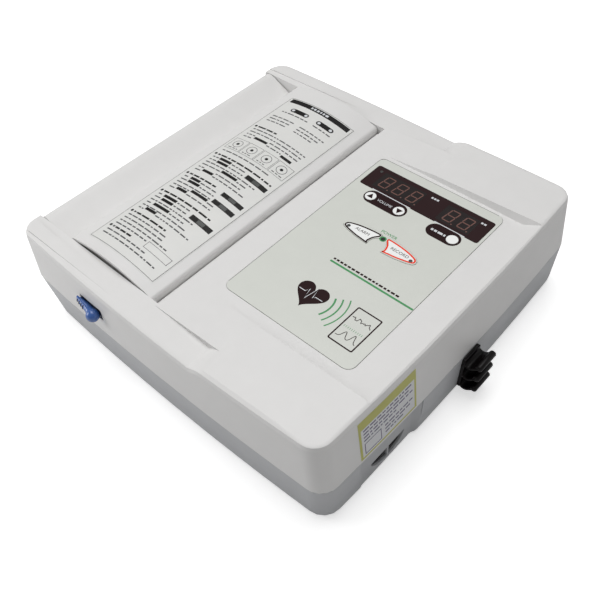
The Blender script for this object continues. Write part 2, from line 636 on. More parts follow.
def plan_half(inset_left, inset_right, inset_front, height, radius=CORNER_RADIUS, corner=5, bulge=5):
    """Front half of the bowed, round-cornered plan, from the left wall round to the right wall."""
    mid_left = -CASE_WIDTH / 2 + inset_left
    mid_right = CASE_WIDTH / 2 - inset_right
    left = mid_left + LEFT_BOW
    right = mid_right - RIGHT_BOW
    front = -CASE_DEPTH / 2 + inset_front + FRONT_BOW
    points = [(mid_left + LEFT_BOW / 4, (front + radius) / 2)]
    points += arc(left + radius, front + radius, radius, math.pi, 1.5 * math.pi, corner)[:-1]
    xs = stations(left + radius, right - radius, bulge)
    middle, half = (xs[0] + xs[-1]) / 2, (xs[-1] - xs[0]) / 2
    points += [(x, front - FRONT_BOW * (1 - ((x - middle) / half) ** 2)) for x in xs]
    points += arc(right - radius, front + radius, radius, 1.5 * math.pi, math.tau, corner)[1:]
    points += [(right + RIGHT_BOW * 5 / 9, (front + radius) * 2 / 3), (right + RIGHT_BOW * 8 / 9, (front + radius) / 3)]
    return [Vector((x, y, height(x))) for x, y in points]


def loft(name, halves, mat=None, cutter=False):
    """Closed body through front half-plans and their mirror images, with strips across both ends."""
    bm = bmesh.new()
    rings = [([bm.verts.new(p) for p in half], [bm.verts.new((p.x, -p.y, p.z)) for p in half]) for half in halves]
    for (low, low_back), (high, high_back) in zip(rings, rings[1:]):
        for i in range(len(low) - 1):
            bm.faces.new((low[i], low[i + 1], high[i + 1], high[i]))
            bm.faces.new((low_back[i + 1], low_back[i], high_back[i], high_back[i + 1]))
        bm.faces.new((low_back[0], low[0], high[0], high_back[0]))
        bm.faces.new((low[-1], low_back[-1], high_back[-1], high[-1]))
    for front, back in (rings[0], rings[-1]):
        for i in range(len(front) - 1):
            bm.faces.new((front[i], back[i], back[i + 1], front[i + 1]))
    return put(name, mesh_of(bm, name), mat, cutter)


def cover_ring(z_over, share, extra=0.0):
    """Half-plan of the cover at a share of its draft, `extra` further in."""
    return plan_half(COVER_DRAFT_LEFT * share + extra, COVER_DRAFT_RIGHT * share + extra,
                     COVER_DRAFT_FRONT * share + extra, z_over,
                     radius=max(CORNER_RADIUS - extra, CORNER_RADIUS / 4))


def front_face(x, z):
    """Distance of the cover's front (or back) wall from the middle, at a height."""
    share = (z - PARTING_Z) / COVER_HEIGHT
    half = CASE_WIDTH / 2 - CORNER_RADIUS
    return CASE_DEPTH / 2 - FRONT_BOW * (x / half) ** 2 - COVER_DRAFT_FRONT * share


def base_share(z):
    """Share of the base's draft at a height: none at the parting line, all of it at the underside."""
    return (PARTING_Z - z) / BASE_HEIGHT


def panel_height(x):
    """Sunk keypad plane."""
    share = (x - PANEL_LEFT_X) / (PANEL_CREASE_X - PANEL_LEFT_X)
    return RAIL_TOP_Z - PANEL_LEFT_SINK - (PANEL_CREASE_SINK - PANEL_LEFT_SINK) * share


PANEL_TILT = math.atan2(PANEL_CREASE_SINK - PANEL_LEFT_SINK, PANEL_CREASE_X - PANEL_LEFT_X)
PANEL_ORIGIN = Vector((PANEL_LEFT_X, 0.0, RAIL_TOP_Z - PANEL_LEFT_SINK))
PANEL_FRAME = Matrix.Translation(PANEL_ORIGIN) @ Matrix.Rotation(PANEL_TILT, 4, "Y")
POCKET_FLOOR = -(OVERLAY_THICK - OVERLAY_PROUD + SEAT_GAP)
BOARD_TOP = -(WINDOW_THICK + DIGIT_BLOCK_HEIGHT + 2 * SEAT_GAP - OVERLAY_PROUD)


def on_panel(ob):
    """Lays a piece made in panel coordinates onto the sloping panel."""
    ob.parent = bpy.data.objects["panel_frame"]
    return ob


def make_frames():
    for name, matrix in (("panel_frame", PANEL_FRAME), ("clip_frame", clip_matrix())):
        empty = bpy.data.objects.new(name, None)
        bpy.data.collections[PARTS].objects.link(empty)
        empty.matrix_world = matrix


def base_back(x):
    """Y of the base's back wall at the rear sockets' height."""
    half = CASE_WIDTH / 2 - CORNER_RADIUS
    return CASE_DEPTH / 2 - BASE_DRAFT_FRONT * base_share(REAR_Z) - FRONT_BOW * (x / half) ** 2


def rear_matrix(x):
    """Frame on the base's back wall: X along the bowed wall, Y outward, Z up the leaning wall."""
    lean = math.atan2(BASE_DRAFT_FRONT, BASE_HEIGHT)
    half = CASE_WIDTH / 2 - CORNER_RADIUS
    yaw = math.atan2(-2 * FRONT_BOW * x, half ** 2)
    return (Matrix.Translation((x, base_back(x), REAR_Z)) @ Matrix.Rotation(yaw, 4, "Z")
            @ Matrix.Rotation(-lean, 4, "X"))


def at_rear(ob, x):
    ob.matrix_world = rear_matrix(x)
    return ob


def clip_matrix():
    """Frame on the base's right wall: X outward, Z up the leaning wall."""
    lean = math.atan2(BASE_DRAFT_RIGHT, BASE_HEIGHT)
    half = CASE_DEPTH / 2 - CORNER_RADIUS
    x = CASE_WIDTH / 2 - RIGHT_BOW * (CLIP_Y / half) ** 2 - BASE_DRAFT_RIGHT * base_share(CLIP_Z)
    return Matrix.Translation((x, CLIP_Y, CLIP_Z)) @ Matrix.Rotation(lean, 4, "Y")


def on_clip(ob):
    ob.parent = bpy.data.objects["clip_frame"]
    return ob


# Housing.
def screw_places():
    return [(sx * SCREW_X, sy * SCREW_Y) for sx in (-1, 1) for sy in (-1, 1)]


def screw_posts(name, lo, hi, radius):
    """Upright cylinders at the four case screws; `hi` may be a height or a function of X."""
    return [rod(f"{name}_{i}", "Z", (x, y, 0), radius, lo, hi(x) if callable(hi) else hi, cutter=True, sides=12)
            for i, (x, y) in enumerate(screw_places())]


def roof_under(x):
    """Height of the hollow's top: a roof's thickness under the rails, level from the step's foot on."""
    return rail_top(min(x, STEP_X)) - ROOF


def strip_cutter(name, side, near, near_end, far):
    """Wedge that sinks one strip of a rail: deepest at the left end, nothing at its right end."""
    left, over = -CASE_WIDTH / 2, RAIL_TOP_Z + CUT_OVER
    ends = ((left - CUT_OVER, near, rail_top(left) - STRIP_SINK), (left, near, rail_top(left) - STRIP_SINK),
            (STRIP_END_X, near_end, rail_top(STRIP_END_X)))
    bm = bmesh.new()
    rings = [[bm.verts.new((x, side * y, z)) for y, z in ((mid, low), (far, low), (far, over), (mid, over))]
             for x, mid, low in ends]
    bm.faces.new(rings[0])
    bm.faces.new(reversed(rings[-1]))
    for a, b in zip(rings, rings[1:]):
        for i in range(4):
            j = (i + 1) % 4
            bm.faces.new((a[i], a[j], b[j], b[i]))
    return put(name, mesh_of(bm, name), cutter=True)


def make_cover():
    top = RAIL_TOP_Z
    soft = TOP_FILLET
    curl = soft * (1 - math.sqrt(0.5))
    cover = loft("top_cover", [
        cover_ring(lambda x: COVER_BOTTOM_Z, 0.0),
        cover_ring(lambda x: rail_top(x) - soft, 1 - soft / COVER_HEIGHT),
        cover_ring(lambda x: rail_top(x) - curl, 1 - soft / COVER_HEIGHT, curl),
        cover_ring(rail_top, 1 - soft / COVER_HEIGHT, soft)], white_plastic())
    # the console stands over the rails' foot between the two inner rail walls
    half = BAY_HALF + RAIL_WALL
    end = STEP_X + STEP_RUN
    low = RAIL_TOP_Z - RAIL_DROP - ROOF
    crest = rail_top(end)
    join(cover, prism("console_top", [(BAY_RIGHT_X, low), (end + STEP_RUN, low), (end, crest - SEAT_GAP),
                                      (BAY_RIGHT_X, top - PANEL_LEFT_DROP)], "Y", -half, half, cutter=True))
    inner = loft("cover_hollow", [
        cover_ring(lambda x: COVER_BOTTOM_Z - CUT_OVER, 0.0, WALL),
        cover_ring(roof_under, 1 - ROOF / COVER_HEIGHT, WALL)], cutter=True)
    left = -CASE_WIDTH / 2
    for side in (-1, 1):
        cut(inner, box(f"rail_wall_{side + 1}", (left, BAY_RIGHT_X + RAIL_WALL),
                       sorted((side * BAY_HALF, side * half)), (COVER_BOTTOM_Z - 2 * CUT_OVER, top), cutter=True))
    slot_z = top - PANEL_LEFT_DROP - GUTTER_WALL_DEPTH
    cut(inner, box("slot_wall", (BAY_RIGHT_X, BAY_RIGHT_X + WALL), (-half, half), (slot_z, top), cutter=True))
    for x in (LEVER_X - LEVER_SLOT_LENGTH / 2 - LEVER_RIB, LEVER_RIGHT_X - LEVER_RIB / 2):
        cut(inner, box("lever_rib", (x - LEVER_RIB, x), (-CASE_DEPTH / 2, -BAY_HALF),
                       (LEVER_Z - LEVER_DRUM_RADIUS, LEVER_Z + LEVER_DRUM_RADIUS), cutter=True))
    cut(cover, inner)
    join(cover, *screw_posts("cover_post", COVER_BOTTOM_Z, lambda x: roof_under(x) + ROOF / 2, SCREW_POST))
    cut(cover, *screw_posts("cover_pilot", COVER_BOTTOM_Z - CUT_OVER, FLOOR_Z + SCREW_LENGTH,
                            SCREW_SHANK + RUN_GAP))
    cut(cover, box("bay", (left - CUT_OVER, BAY_RIGHT_X), (-BAY_HALF, BAY_HALF),
                   (RAIL_TOP_Z - LEFT_WALL_DROP, top + CUT_OVER), cutter=True))
    for side in (-1, 1):
        cut(cover, strip_cutter(f"outer_strip_{side + 1}", side, STRIP_OUTER, STRIP_OUTER, CASE_DEPTH / 2 + CUT_OVER))
        cut(cover, strip_cutter(f"inner_strip_{side + 1}", side, STRIP_INNER, STRIP_INNER_END, BAY_HALF - CUT_OVER))
    cut(cover, panel_cutter())
    cut(cover, rod("hinge_bore", "Y", (HINGE_X, 0, HINGE_Z), HINGE_ROD_RADIUS + RUN_GAP,
                   -half - CUT_OVER, half + CUT_OVER, cutter=True, sides=20))
    cut_panel_openings(cover)
    cut_lever_openings(cover)
    return cover


def panel_cutter():
    """Prism over the sunk plane: flat floor, band climbing to the right, leaning front and back walls."""
    over = RAIL_TOP_Z + CUT_OVER
    floor = ((PANEL_LEFT_X, panel_height(PANEL_LEFT_X)), (PANEL_CREASE_X, panel_height(PANEL_CREASE_X)),
             (PANEL_RIGHT_X, rail_top(PANEL_RIGHT_X)), (PANEL_RIGHT_X, over), (PANEL_LEFT_X, over))
    low = panel_height(PANEL_CREASE_X)
    lean = PANEL_SIDE_LEAN / PANEL_CREASE_SINK
    bm = bmesh.new()
    sides = [[bm.verts.new((x, s * (PANEL_HALF + (z - low) * lean), z)) for x, z in floor] for s in (-1, 1)]
    bm.faces.new(sides[0])
    bm.faces.new(reversed(sides[1]))
    for i in range(len(floor)):
        j = (i + 1) % len(floor)
        bm.faces.new((sides[0][i], sides[1][i], sides[1][j], sides[0][j]))
    return put("panel_cutter", mesh_of(bm, "panel_cutter"), cutter=True)


def overlay_outline(grow=0.0):
    return rounded((OVERLAY_LEFT - grow, OVERLAY_LEFT + OVERLAY_WIDTH + grow),
                   (OVERLAY_MIDDLE - OVERLAY_DEPTH / 2 - grow, OVERLAY_MIDDLE + OVERLAY_DEPTH / 2 + grow),
                   OVERLAY_CORNER + grow)


def window_outline(grow=0.0):
    return rounded((WINDOW_LEFT - grow, WINDOW_LEFT + WINDOW_WIDTH + grow),
                   (WINDOW_MIDDLE - WINDOW_DEPTH / 2 - grow, WINDOW_MIDDLE + WINDOW_DEPTH / 2 + grow),
                   max(WINDOW_CORNER + grow, WINDOW_CORNER / 2), 2)


def leaf_outline(shares, left, front, grow=0.0):
    """Leaf key: its table of shares, spread over its length and depth, grown about its middle."""
    cx, cy = left + LEAF_LENGTH / 2, front + LEAF_DEPTH / 2
    kx, ky = 1 + 2 * grow / LEAF_LENGTH, 1 + 2 * grow / LEAF_DEPTH
    return [(cx + (left + LEAF_LENGTH * a - cx) * kx, cy + (front + LEAF_DEPTH * b - cy) * ky) for a, b in shares]


def circle(at, radius, sides=20):
    return [(at[0] + radius * math.cos(math.tau * i / sides), at[1] + radius * math.sin(math.tau * i / sides))
            for i in range(sides)]


def led_places():
    return {"led_power": POWER_LED_AT,
            "led_alarm": (ALARM_LEFT + LEAF_LENGTH * ALARM_LED_SHARES[0],
                          ALARM_FRONT + LEAF_DEPTH * ALARM_LED_SHARES[1]),
            "led_record": (RECORD_LEFT + LEAF_LENGTH * (1 - ALARM_LED_SHARES[0]),
                           RECORD_FRONT + LEAF_DEPTH * ALARM_LED_SHARES[1])}


def key_outlines(grow=0.0):
    return {"key_volume_up": circle(VOLUME_UP_AT, KEY_RADIUS + grow),
            "key_volume_down": circle(VOLUME_DOWN_AT, KEY_RADIUS + grow),
            "key_reference": circle(REFERENCE_AT, KEY_RADIUS + grow),
            "key_alarm": leaf_outline(LEAF_SHARES, ALARM_LEFT, ALARM_FRONT, grow),
            "key_record": leaf_outline(RECORD_SHARES, RECORD_LEFT, RECORD_FRONT, grow)}


def key_stems():
    mid = LEAF_DEPTH * (1 - LEAF_STEM_SHARE)
    return {"key_volume_up": VOLUME_UP_AT, "key_volume_down": VOLUME_DOWN_AT, "key_reference": REFERENCE_AT,
            "key_alarm": (ALARM_LEFT + LEAF_LENGTH * LEAF_STEM_SHARE, ALARM_FRONT + mid),
            "key_record": (RECORD_LEFT + LEAF_LENGTH * (1 - LEAF_STEM_SHARE), RECORD_FRONT + mid)}


def cut_panel_openings(cover):
    deep = -ROOF - RAIL_DROP
    ledge = OVERLAY_PROUD - WINDOW_THICK - SEAT_GAP
    cut(cover, on_panel(prism("overlay_pocket", overlay_outline(RUN_GAP), "Z", POCKET_FLOOR, CUT_OVER, cutter=True)))
    cut(cover, on_panel(prism("window_pocket", window_outline(RUN_GAP), "Z", ledge, CUT_OVER, cutter=True)))
    cut(cover, on_panel(prism("window_hole", window_outline(-WINDOW_LEDGE), "Z", deep, 0.0, cutter=True)))
    for name, at in key_stems().items():
        cut(cover, on_panel(rod(f"{name}_bore", "Z", (*at, 0), KEY_STEM_RADIUS + RUN_GAP, deep, 0.0,
                                cutter=True, sides=10)))
    for name, at in led_places().items():
        cut(cover, on_panel(rod(f"{name}_bore", "Z", (*at, 0), LED_RADIUS + RUN_GAP, deep, 0.0,
                                cutter=True, sides=10)))
    for i, at in enumerate(post_places()):
        join(cover, on_panel(rod(f"board_post_{i}", "Z", (*at, 0), POST_RADIUS, BOARD_TOP + SEAT_GAP,
                                 -ROOF, cutter=True, sides=10)))
        cut(cover, on_panel(rod(f"board_pilot_{i}", "Z", (*at, 0), POST_RADIUS / 2, BOARD_TOP - CUT_OVER,
                                -ROOF, cutter=True, sides=8)))


def post_places():
    left, right = OVERLAY_LEFT + BOARD_MARGIN, OVERLAY_LEFT + OVERLAY_WIDTH - BOARD_MARGIN
    front, back = BOARD_FRONT + BOARD_MARGIN, BOARD_BACK - BOARD_MARGIN
    return [(left, front), (right, front), (right, back), (left, back)]


def lever_axis():
    wall = front_face(LEVER_X, LEVER_Z)
    return -(wall + LEVER_DRUM_PROUD - LEVER_DRUM_RADIUS)


def cut_lever_openings(cover):
    x0, x1 = LEVER_X - LEVER_SLOT_LENGTH / 2, LEVER_X + LEVER_SLOT_LENGTH / 2
    z0, z1 = LEVER_Z - LEVER_SLOT_HEIGHT / 2, LEVER_Z + LEVER_SLOT_HEIGHT / 2
    axis = lever_axis()
    outer = -CASE_DEPTH / 2 - CUT_OVER
    cut(cover, prism("lever_slot", rounded((x0, x1), (z0, z1), LEVER_SLOT_CORNER, 3), "Y", outer, axis, cutter=True))
    cut(cover, rod("spring_relief", "X", (0, axis, LEVER_Z), spring_radius() + 2 * LEVER_SPRING_WIRE + RUN_GAP,
                   x1 - LEVER_RIB, CATCH_X, cutter=True, sides=16))
    cut(cover, rod("lever_bore", "X", (0, axis, LEVER_Z), LEVER_SHAFT_RADIUS + RUN_GAP,
                   x0 - LEVER_RIB - CUT_OVER, LEVER_RIGHT_X + LEVER_RIB, cutter=True, sides=16))
    side = CATCH_WIDTH / 2 + 2 * RUN_GAP
    cut(cover, box("catch_slot", (CATCH_X - side, CATCH_X + side),
                   (-BAY_HALF - RAIL_WALL - CUT_OVER, -BAY_HALF + CUT_OVER),
                   (CATCH_Z - CATCH_SWING, CATCH_Z + CATCH_THICK), cutter=True))


# Base.
def base_ring(z, extra=0.0):
    share = base_share(z)
    return plan_half(BASE_DRAFT_LEFT * share + extra, BASE_DRAFT_RIGHT * share + extra,
                     BASE_DRAFT_FRONT * share + extra, lambda x: z,
                     radius=max(CORNER_RADIUS - extra, CORNER_RADIUS / 4), corner=4)


def recess_outline(back=0.0):
    """Plan of the socket recess in the right wall, with smooth ends; `back` thickens it inward."""
    floor = CASE_WIDTH / 2 - RECESS_DEPTH - back
    out = CASE_WIDTH / 2 + CUT_OVER
    y0, y1 = RECESS_FRONT - back, RECESS_BACK + back
    wall = CASE_WIDTH / 2 - RIGHT_BOW / 2 - back
    ease = [(1 - math.cos(math.pi * i / 5)) / 2 for i in range(6)]
    front = [(wall + (floor - wall) * e, y0 + RECESS_BLEND * i / 5) for i, e in enumerate(ease)]
    rear = [(floor + (wall - floor) * e, y1 - RECESS_BLEND * (1 - i / 5)) for i, e in enumerate(ease)]
    return [(out, y0)] + front + rear + [(out, y1)]


def socket_floor_x():
    return CASE_WIDTH / 2 - RECESS_DEPTH


def mouth_outline(side, steps=7):
    """Half of the boat-shaped mouth, beside the centre rib: flat top, elliptic keel."""
    inner = SOCKET_RIB / 2
    points = [(SOCKET_MIDDLE + side * inner, SOCKET_TOP_Z)]
    for i in range(steps + 1):
        a = math.pi / 2 * i / steps
        points.append((SOCKET_MIDDLE + side * (inner + (SOCKET_HALF - inner) * math.cos(a)),
                       SOCKET_TOP_Z - SOCKET_DEEP * math.sin(a)))
    return points


def make_base():
    over = PARTING_Z + CUT_OVER
    inset = BASE_FILLET * (1 - math.sqrt(0.5))
    base = loft("base_tray", [base_ring(FOOT_HEIGHT, BASE_FILLET),
                              base_ring(FOOT_HEIGHT + inset, inset),
                              base_ring(FOOT_HEIGHT + BASE_FILLET),
                              base_ring(PARTING_Z)], grey_plastic())
    hollow = loft("base_hollow", [base_ring(FLOOR_Z, WALL + BASE_FILLET / 2), base_ring(FLOOR_Z + BASE_FILLET, WALL),
                                  base_ring(over, WALL)], cutter=True)
    cut(hollow, prism("recess_back", recess_outline(WALL), "Z", 0.0, over + CUT_OVER, cutter=True))
    cut(base, hollow)
    cut(base, prism("recess", recess_outline(), "Z", -CUT_OVER, over, cutter=True))
    x = socket_floor_x()
    for side in (-1, 1):
        cut(base, prism(f"mouth_{side + 1}", mouth_outline(side), "X", x - WALL - CUT_OVER / 2, x + CUT_OVER,
                        cutter=True))
    join(base, *screw_posts("base_post", FLOOR_Z - WALL / 2, PARTING_Z, SCREW_POST))
    cut(base, *screw_posts("base_bore", -CUT_OVER, over, SCREW_SHANK + RUN_GAP))
    cut(base, *screw_posts("base_counterbore", -CUT_OVER, FOOT_HEIGHT + SCREW_HEAD_THICK + SEAT_GAP,
                           SCREW_HEAD + RUN_GAP))
    board_low = FLOOR_Z + MAIN_BOARD_LIFT
    for i, (px, py) in enumerate(board_corners()):
        join(base, rod(f"main_post_{i}", "Z", (px, py, 0), POST_RADIUS, FLOOR_Z - WALL / 2, board_low - SEAT_GAP,
                       cutter=True, sides=10))
    for i, (fx, fy) in enumerate(foot_places()):
        cut(base, rod(f"foot_seat_{i}", "Z", (fx, fy, 0), FOOT_RADIUS + RUN_GAP, -CUT_OVER, FOOT_HEIGHT + FOOT_SEAT,
                      cutter=True, sides=16))
    cut(base, grille_cutter())
    cut_rear_openings(base)
    for i, z in enumerate(clip_screw_places()):
        cut(base, on_clip(rod(f"clip_pilot_{i}", "X", (0, 0, z), CLIP_SCREW + RUN_GAP, -WALL - CUT_OVER, CUT_OVER,
                              cutter=True, sides=12)))
    return base


def board_corners():
    inset = POST_RADIUS * 4 / 3
    return [(x, y) for x in (MAIN_BOARD_LEFT + inset, MAIN_BOARD_RIGHT - inset)
            for y in (MAIN_BOARD_FRONT + inset, MAIN_BOARD_BACK - inset)]


def foot_places():
    return [(sx * FOOT_X, sy * FOOT_Y) for sx in (-1, 1) for sy in (-1, 1)]


def blocks(name, spans, mat=None, cutter=False):
    """Several separate blocks in one object, each given as pairs of X, Y and Z."""
    bm = bmesh.new()
    for x, y, z in spans:
        made = bmesh.ops.create_cube(bm, size=1.0)["verts"]
        size = Vector((x[1] - x[0], y[1] - y[0], z[1] - z[0]))
        mid = Vector((x[0] + x[1], y[0] + y[1], z[0] + z[1])) / 2
        bmesh.ops.transform(bm, verts=made, matrix=Matrix.Translation(mid) @ Matrix.Diagonal((*size, 1.0)))
    return put(name, mesh_of(bm, name), mat, cutter)


def grille_cutter():
    """Sound slots in the floor, each as long as the chord of the speaker's cone."""
    spans = []
    for i in range(GRILLE_SLOTS):
        x = (i - (GRILLE_SLOTS - 1) / 2) * GRILLE_PITCH
        half = math.sqrt(max((SPEAKER_RADIUS - GRILLE_SLOT) ** 2 - x * x, GRILLE_PITCH ** 2))
        spans.append(((SPEAKER_X + x - GRILLE_SLOT / 2, SPEAKER_X + x + GRILLE_SLOT / 2),
                      (SPEAKER_Y - half, SPEAKER_Y + half), (-CUT_OVER, FLOOR_Z + WALL / 4)))
    return blocks("grille_cutter", spans, cutter=True)


def cut_rear_openings(base):
    for name, x, width, height in (("inlet", INLET_X, INLET_WIDTH, INLET_HEIGHT),
                                   ("rocker", ROCKER_X, ROCKER_WIDTH + 2 * ROCKER_FRAME, ROCKER_HEIGHT + 2 * ROCKER_FRAME),
                                   ("port", PORT_X, PORT_WIDTH + 2 * PORT_SHELL, PORT_HEIGHT + 2 * PORT_SHELL)):
        half, high = width / 2 + RUN_GAP, height / 2 + RUN_GAP
        cut(base, at_rear(box(f"{name}_opening", (-half, half), (-WALL - CUT_OVER, CUT_OVER), (-high, high),
                              cutter=True), x))


def make_feet():
    for i, (x, y) in enumerate(foot_places()):
        top = FOOT_HEIGHT + FOOT_SEAT - SEAT_GAP
        edge = FOOT_SEAT / 2
        turned(f"foot_{i + 1}", "Z", (x, y, 0), [(0, top), (FOOT_RADIUS, top), (FOOT_RADIUS, edge),
                                                 (FOOT_RADIUS - edge, 0), (0, 0)], rubber(), sides=16)


def screw(name, matrix, head, head_thick, shank, length, sides=10):
    """One pan-head screw along the matrix's Z, from the outer face of its head."""
    ob = turned(name, "Z", (0, 0, 0), [(0, length), (shank, length), (shank, head_thick), (head, head_thick),
                                       (head, 0), (0, 0)], steel(), sides=sides)
    ob.matrix_world = matrix
    return ob


def make_case_screws():
    """Four screws from below, through the base's posts into the cover's."""
    low = FOOT_HEIGHT + SEAT_GAP
    for i, (x, y) in enumerate(screw_places()):
        screw(f"case_screw_{i + 1}", Matrix.Translation((x, y, low)), SCREW_HEAD, SCREW_HEAD_THICK - SEAT_GAP,
              SCREW_SHANK, SCREW_LENGTH)


# Door.
def door_skin_line():
    """Outer side of the door in the side view, from the skirt's foot to the bullnose's flange."""
    lip_z = RAIL_TOP_Z - DOOR_LIP_SINK
    foot_z = lip_z - DOOR_SKIRT_HEIGHT

    def wall_x(z):
        return -CASE_WIDTH / 2 + COVER_DRAFT_LEFT * (z - PARTING_Z) / COVER_HEIGHT + SEAT_GAP

    turn = DOOR_LIP_X - wall_x(lip_z)
    line = [(wall_x(foot_z), foot_z)]
    for i in range(5):
        a = math.pi - math.pi / 2 * i / 4
        line.append((DOOR_LIP_X + turn * math.cos(a), lip_z - turn + turn * math.sin(a)))
    valley_z = lip_z - VALLEY_DEPTH
    line.append((DOOR_LIP_X + (VALLEY_X - DOOR_LIP_X) / 6, lip_z - VALLEY_DEPTH / 12))
    line.append((VALLEY_X, valley_z))
    ax, az = ARCH_LEFT_X, RAIL_TOP_Z - ARCH_LEFT_SINK
    bx, bz = ARCH_RIGHT_X, RAIL_TOP_Z - ARCH_RIGHT_SINK
    chord = math.hypot(bx - ax, bz - az)
    radius = (chord ** 2 / 4 + ARCH_RISE ** 2) / (2 * ARCH_RISE)
    tilt = math.atan2(bz - az, bx - ax)
    sweep = math.asin(chord / 2 / radius)
    mx, mz = (ax + bx) / 2, (az + bz) / 2
    down = radius - ARCH_RISE
    cx, cz = mx + down * math.sin(tilt), mz - down * math.cos(tilt)
    for i in range(ARCH_STEPS + 1):
        a = math.pi / 2 + tilt + sweep - 2 * sweep * i / ARCH_STEPS
        line.append((cx + radius * math.cos(a), cz + radius * math.sin(a)))
    edge = BAY_RIGHT_X - GUTTER_WIDTH
    last = line[-1]
    reach = edge - last[0]
    for i in range(1, 5):
        a = math.pi / 2 * i / 4
        line.append((last[0] + reach * math.sin(a), last[1] - NOSE_RADIUS * (1 - math.cos(a))))
    line.append((edge, last[1] - NOSE_RADIUS - NOSE_FLANGE))
    return line


def offset_line(line, distance):
    """The line moved to its right-hand side by a distance, with mitred corners."""
    moved = []
    for i, (x, z) in enumerate(line):
        a = line[i - 1] if i else None
        b = line[i + 1] if i < len(line) - 1 else None
        normals = []
        for p, q in ((a, (x, z)), ((x, z), b)):
            if p is None or q is None:
                continue
            dx, dz = q[0] - p[0], q[1] - p[1]
            size = math.hypot(dx, dz)
            normals.append((dz / size, -dx / size))
        nx = sum(n[0] for n in normals)
        nz = sum(n[1] for n in normals)
        size = math.hypot(nx, nz)
        nx, nz = nx / size, nz / size
        mitre = 1 / max(nx * normals[0][0] + nz * normals[0][1], 0.6)
        moved.append((x + nx * distance * mitre, z + nz * distance * mitre))
    return moved


def door_half():
    return BAY_HALF - DOOR_END_GAP


def cheek_outline():
    """Side cheek: under the skin, round the hinge and the platen's pin, with the catch tab between."""
    middle = offset_line(door_skin_line(), DOOR_SKIN / 2)
    top = [p for p in middle if HINGE_X < p[0] < PLATEN_X + CHEEK_ARM][::-1]
    right = arc(PLATEN_X, PLATEN_Z, CHEEK_ARM, 0.0, -math.pi / 2, 4)
    left = arc(HINGE_X, HINGE_Z, CHEEK_ARM, -math.pi / 2, -math.pi, 4)
    low = HINGE_Z - CHEEK_ARM
    tab = CATCH_TAB / 2
    foot = CATCH_Z - CATCH_HOLE
    tabs = [(CATCH_X + tab, low), (CATCH_X + tab, foot), (CATCH_X - tab, foot), (CATCH_X - tab, low)]
    return right + tabs + left + [(HINGE_X - CHEEK_ARM, HINGE_Z + CHEEK_ARM)] + top[::-1]


def make_door():
    line = door_skin_line()
    half = door_half()
    door = prism("printer_door", line + offset_line(line, DOOR_SKIN)[::-1], "Y", -half, half, white_plastic())
    outer = half - CHEEK_INSET
    for side in (-1, 1):
        lo, hi = sorted((side * outer, side * (outer - CHEEK_THICK)))
        join(door, prism(f"cheek_{side + 1}", cheek_outline(), "Y", lo, hi, cutter=True))
    middle = offset_line(line, DOOR_SKIN / 2)
    crown = [p for p in middle if ARCH_LEFT_X + DOOR_SKIN < p[0] < ARCH_RIGHT_X - DOOR_SKIN]
    rib_low = RAIL_TOP_Z - ARCH_RIGHT_SINK - 2 * DOOR_SKIN
    for i in range(RIB_COUNT):
        y = (i - (RIB_COUNT - 1) / 2) * half / 2
        join(door, prism(f"rib_{i}", crown + [(crown[-1][0], rib_low), (crown[0][0], rib_low)], "Y",
                         y - RIB_THICK / 2, y + RIB_THICK / 2, cutter=True))
    inner = outer - CHEEK_THICK / 2
    join(door, rod("barrel", "Y", (HINGE_X, 0, HINGE_Z), BARREL_RADIUS, -inner, inner, cutter=True, sides=20))
    web = -CASE_WIDTH / 2 + COVER_DRAFT_LEFT + DOOR_SKIN / 2
    join(door, box("barrel_web", (web, HINGE_X - HINGE_ROD_RADIUS), (-inner, inner),
                   (HINGE_Z - RIB_THICK / 2, HINGE_Z + RIB_THICK / 2), cutter=True))
    over = half + CUT_OVER
    cut(door, rod("door_hinge_bore", "Y", (HINGE_X, 0, HINGE_Z), HINGE_ROD_RADIUS + RUN_GAP, -over, over,
                  cutter=True, sides=20))
    for side in (-1, 1):
        lo, hi = sorted((side * over, side * (inner - CHEEK_THICK)))
        cut(door, rod(f"platen_bore_{side + 1}", "Y", (PLATEN_X, 0, PLATEN_Z), PLATEN_SHAFT_RADIUS + RUN_GAP,
                      lo, hi, cutter=True, sides=20))
    hole = CATCH_HOLE / 2
    cut(door, box("catch_hole", (CATCH_X - hole, CATCH_X + hole), (-over, -inner + CHEEK_THICK),
                  (CATCH_Z - hole, CATCH_Z + hole), cutter=True))
    return pivot(door, (HINGE_X, 0, HINGE_Z))


def make_hinge_rod():
    half = BAY_HALF + RAIL_WALL
    rod("door_hinge_rod", "Y", (HINGE_X, 0, HINGE_Z), HINGE_ROD_RADIUS, -half, half, steel(), sides=20)


# Printer.
def gear(name, centre, teeth, bore, phase, lo, hi, mat, hub=0.0):
    """Spur gear round Y with straight-flanked teeth; `phase` is the angle of one tooth's middle."""
    pitch = GEAR_MODULE * teeth / 2
    tip = pitch + GEAR_MODULE * GEAR_ADDENDUM_SHARE
    root = pitch - GEAR_MODULE * GEAR_DEDENDUM_SHARE
    thick = (math.pi * GEAR_MODULE / 2 - TOOTH_BACKLASH) / 2
    outline = []
    for i in range(teeth):
        mid = phase + math.tau * i / teeth
        for r, half in ((root, thick * GEAR_ROOT_SHARE), (tip, thick * GEAR_TIP_SHARE), (tip, -thick * GEAR_TIP_SHARE),
                        (root, -thick * GEAR_ROOT_SHARE)):
            outline.append((mid - half / pitch, r))
    points = [(centre[0] + r * math.cos(a), centre[1] + r * math.sin(a)) for a, r in outline]
    ob = prism(name, points, "Y", lo, hi, mat)
    if bore:
        cut(ob, rod(f"{name}_bore", "Y", (centre[0], 0, centre[1]), bore, lo - CUT_OVER, hi + CUT_OVER,
                    cutter=True, sides=20))
    return pivot(ob, (centre[0], 0, centre[1]))


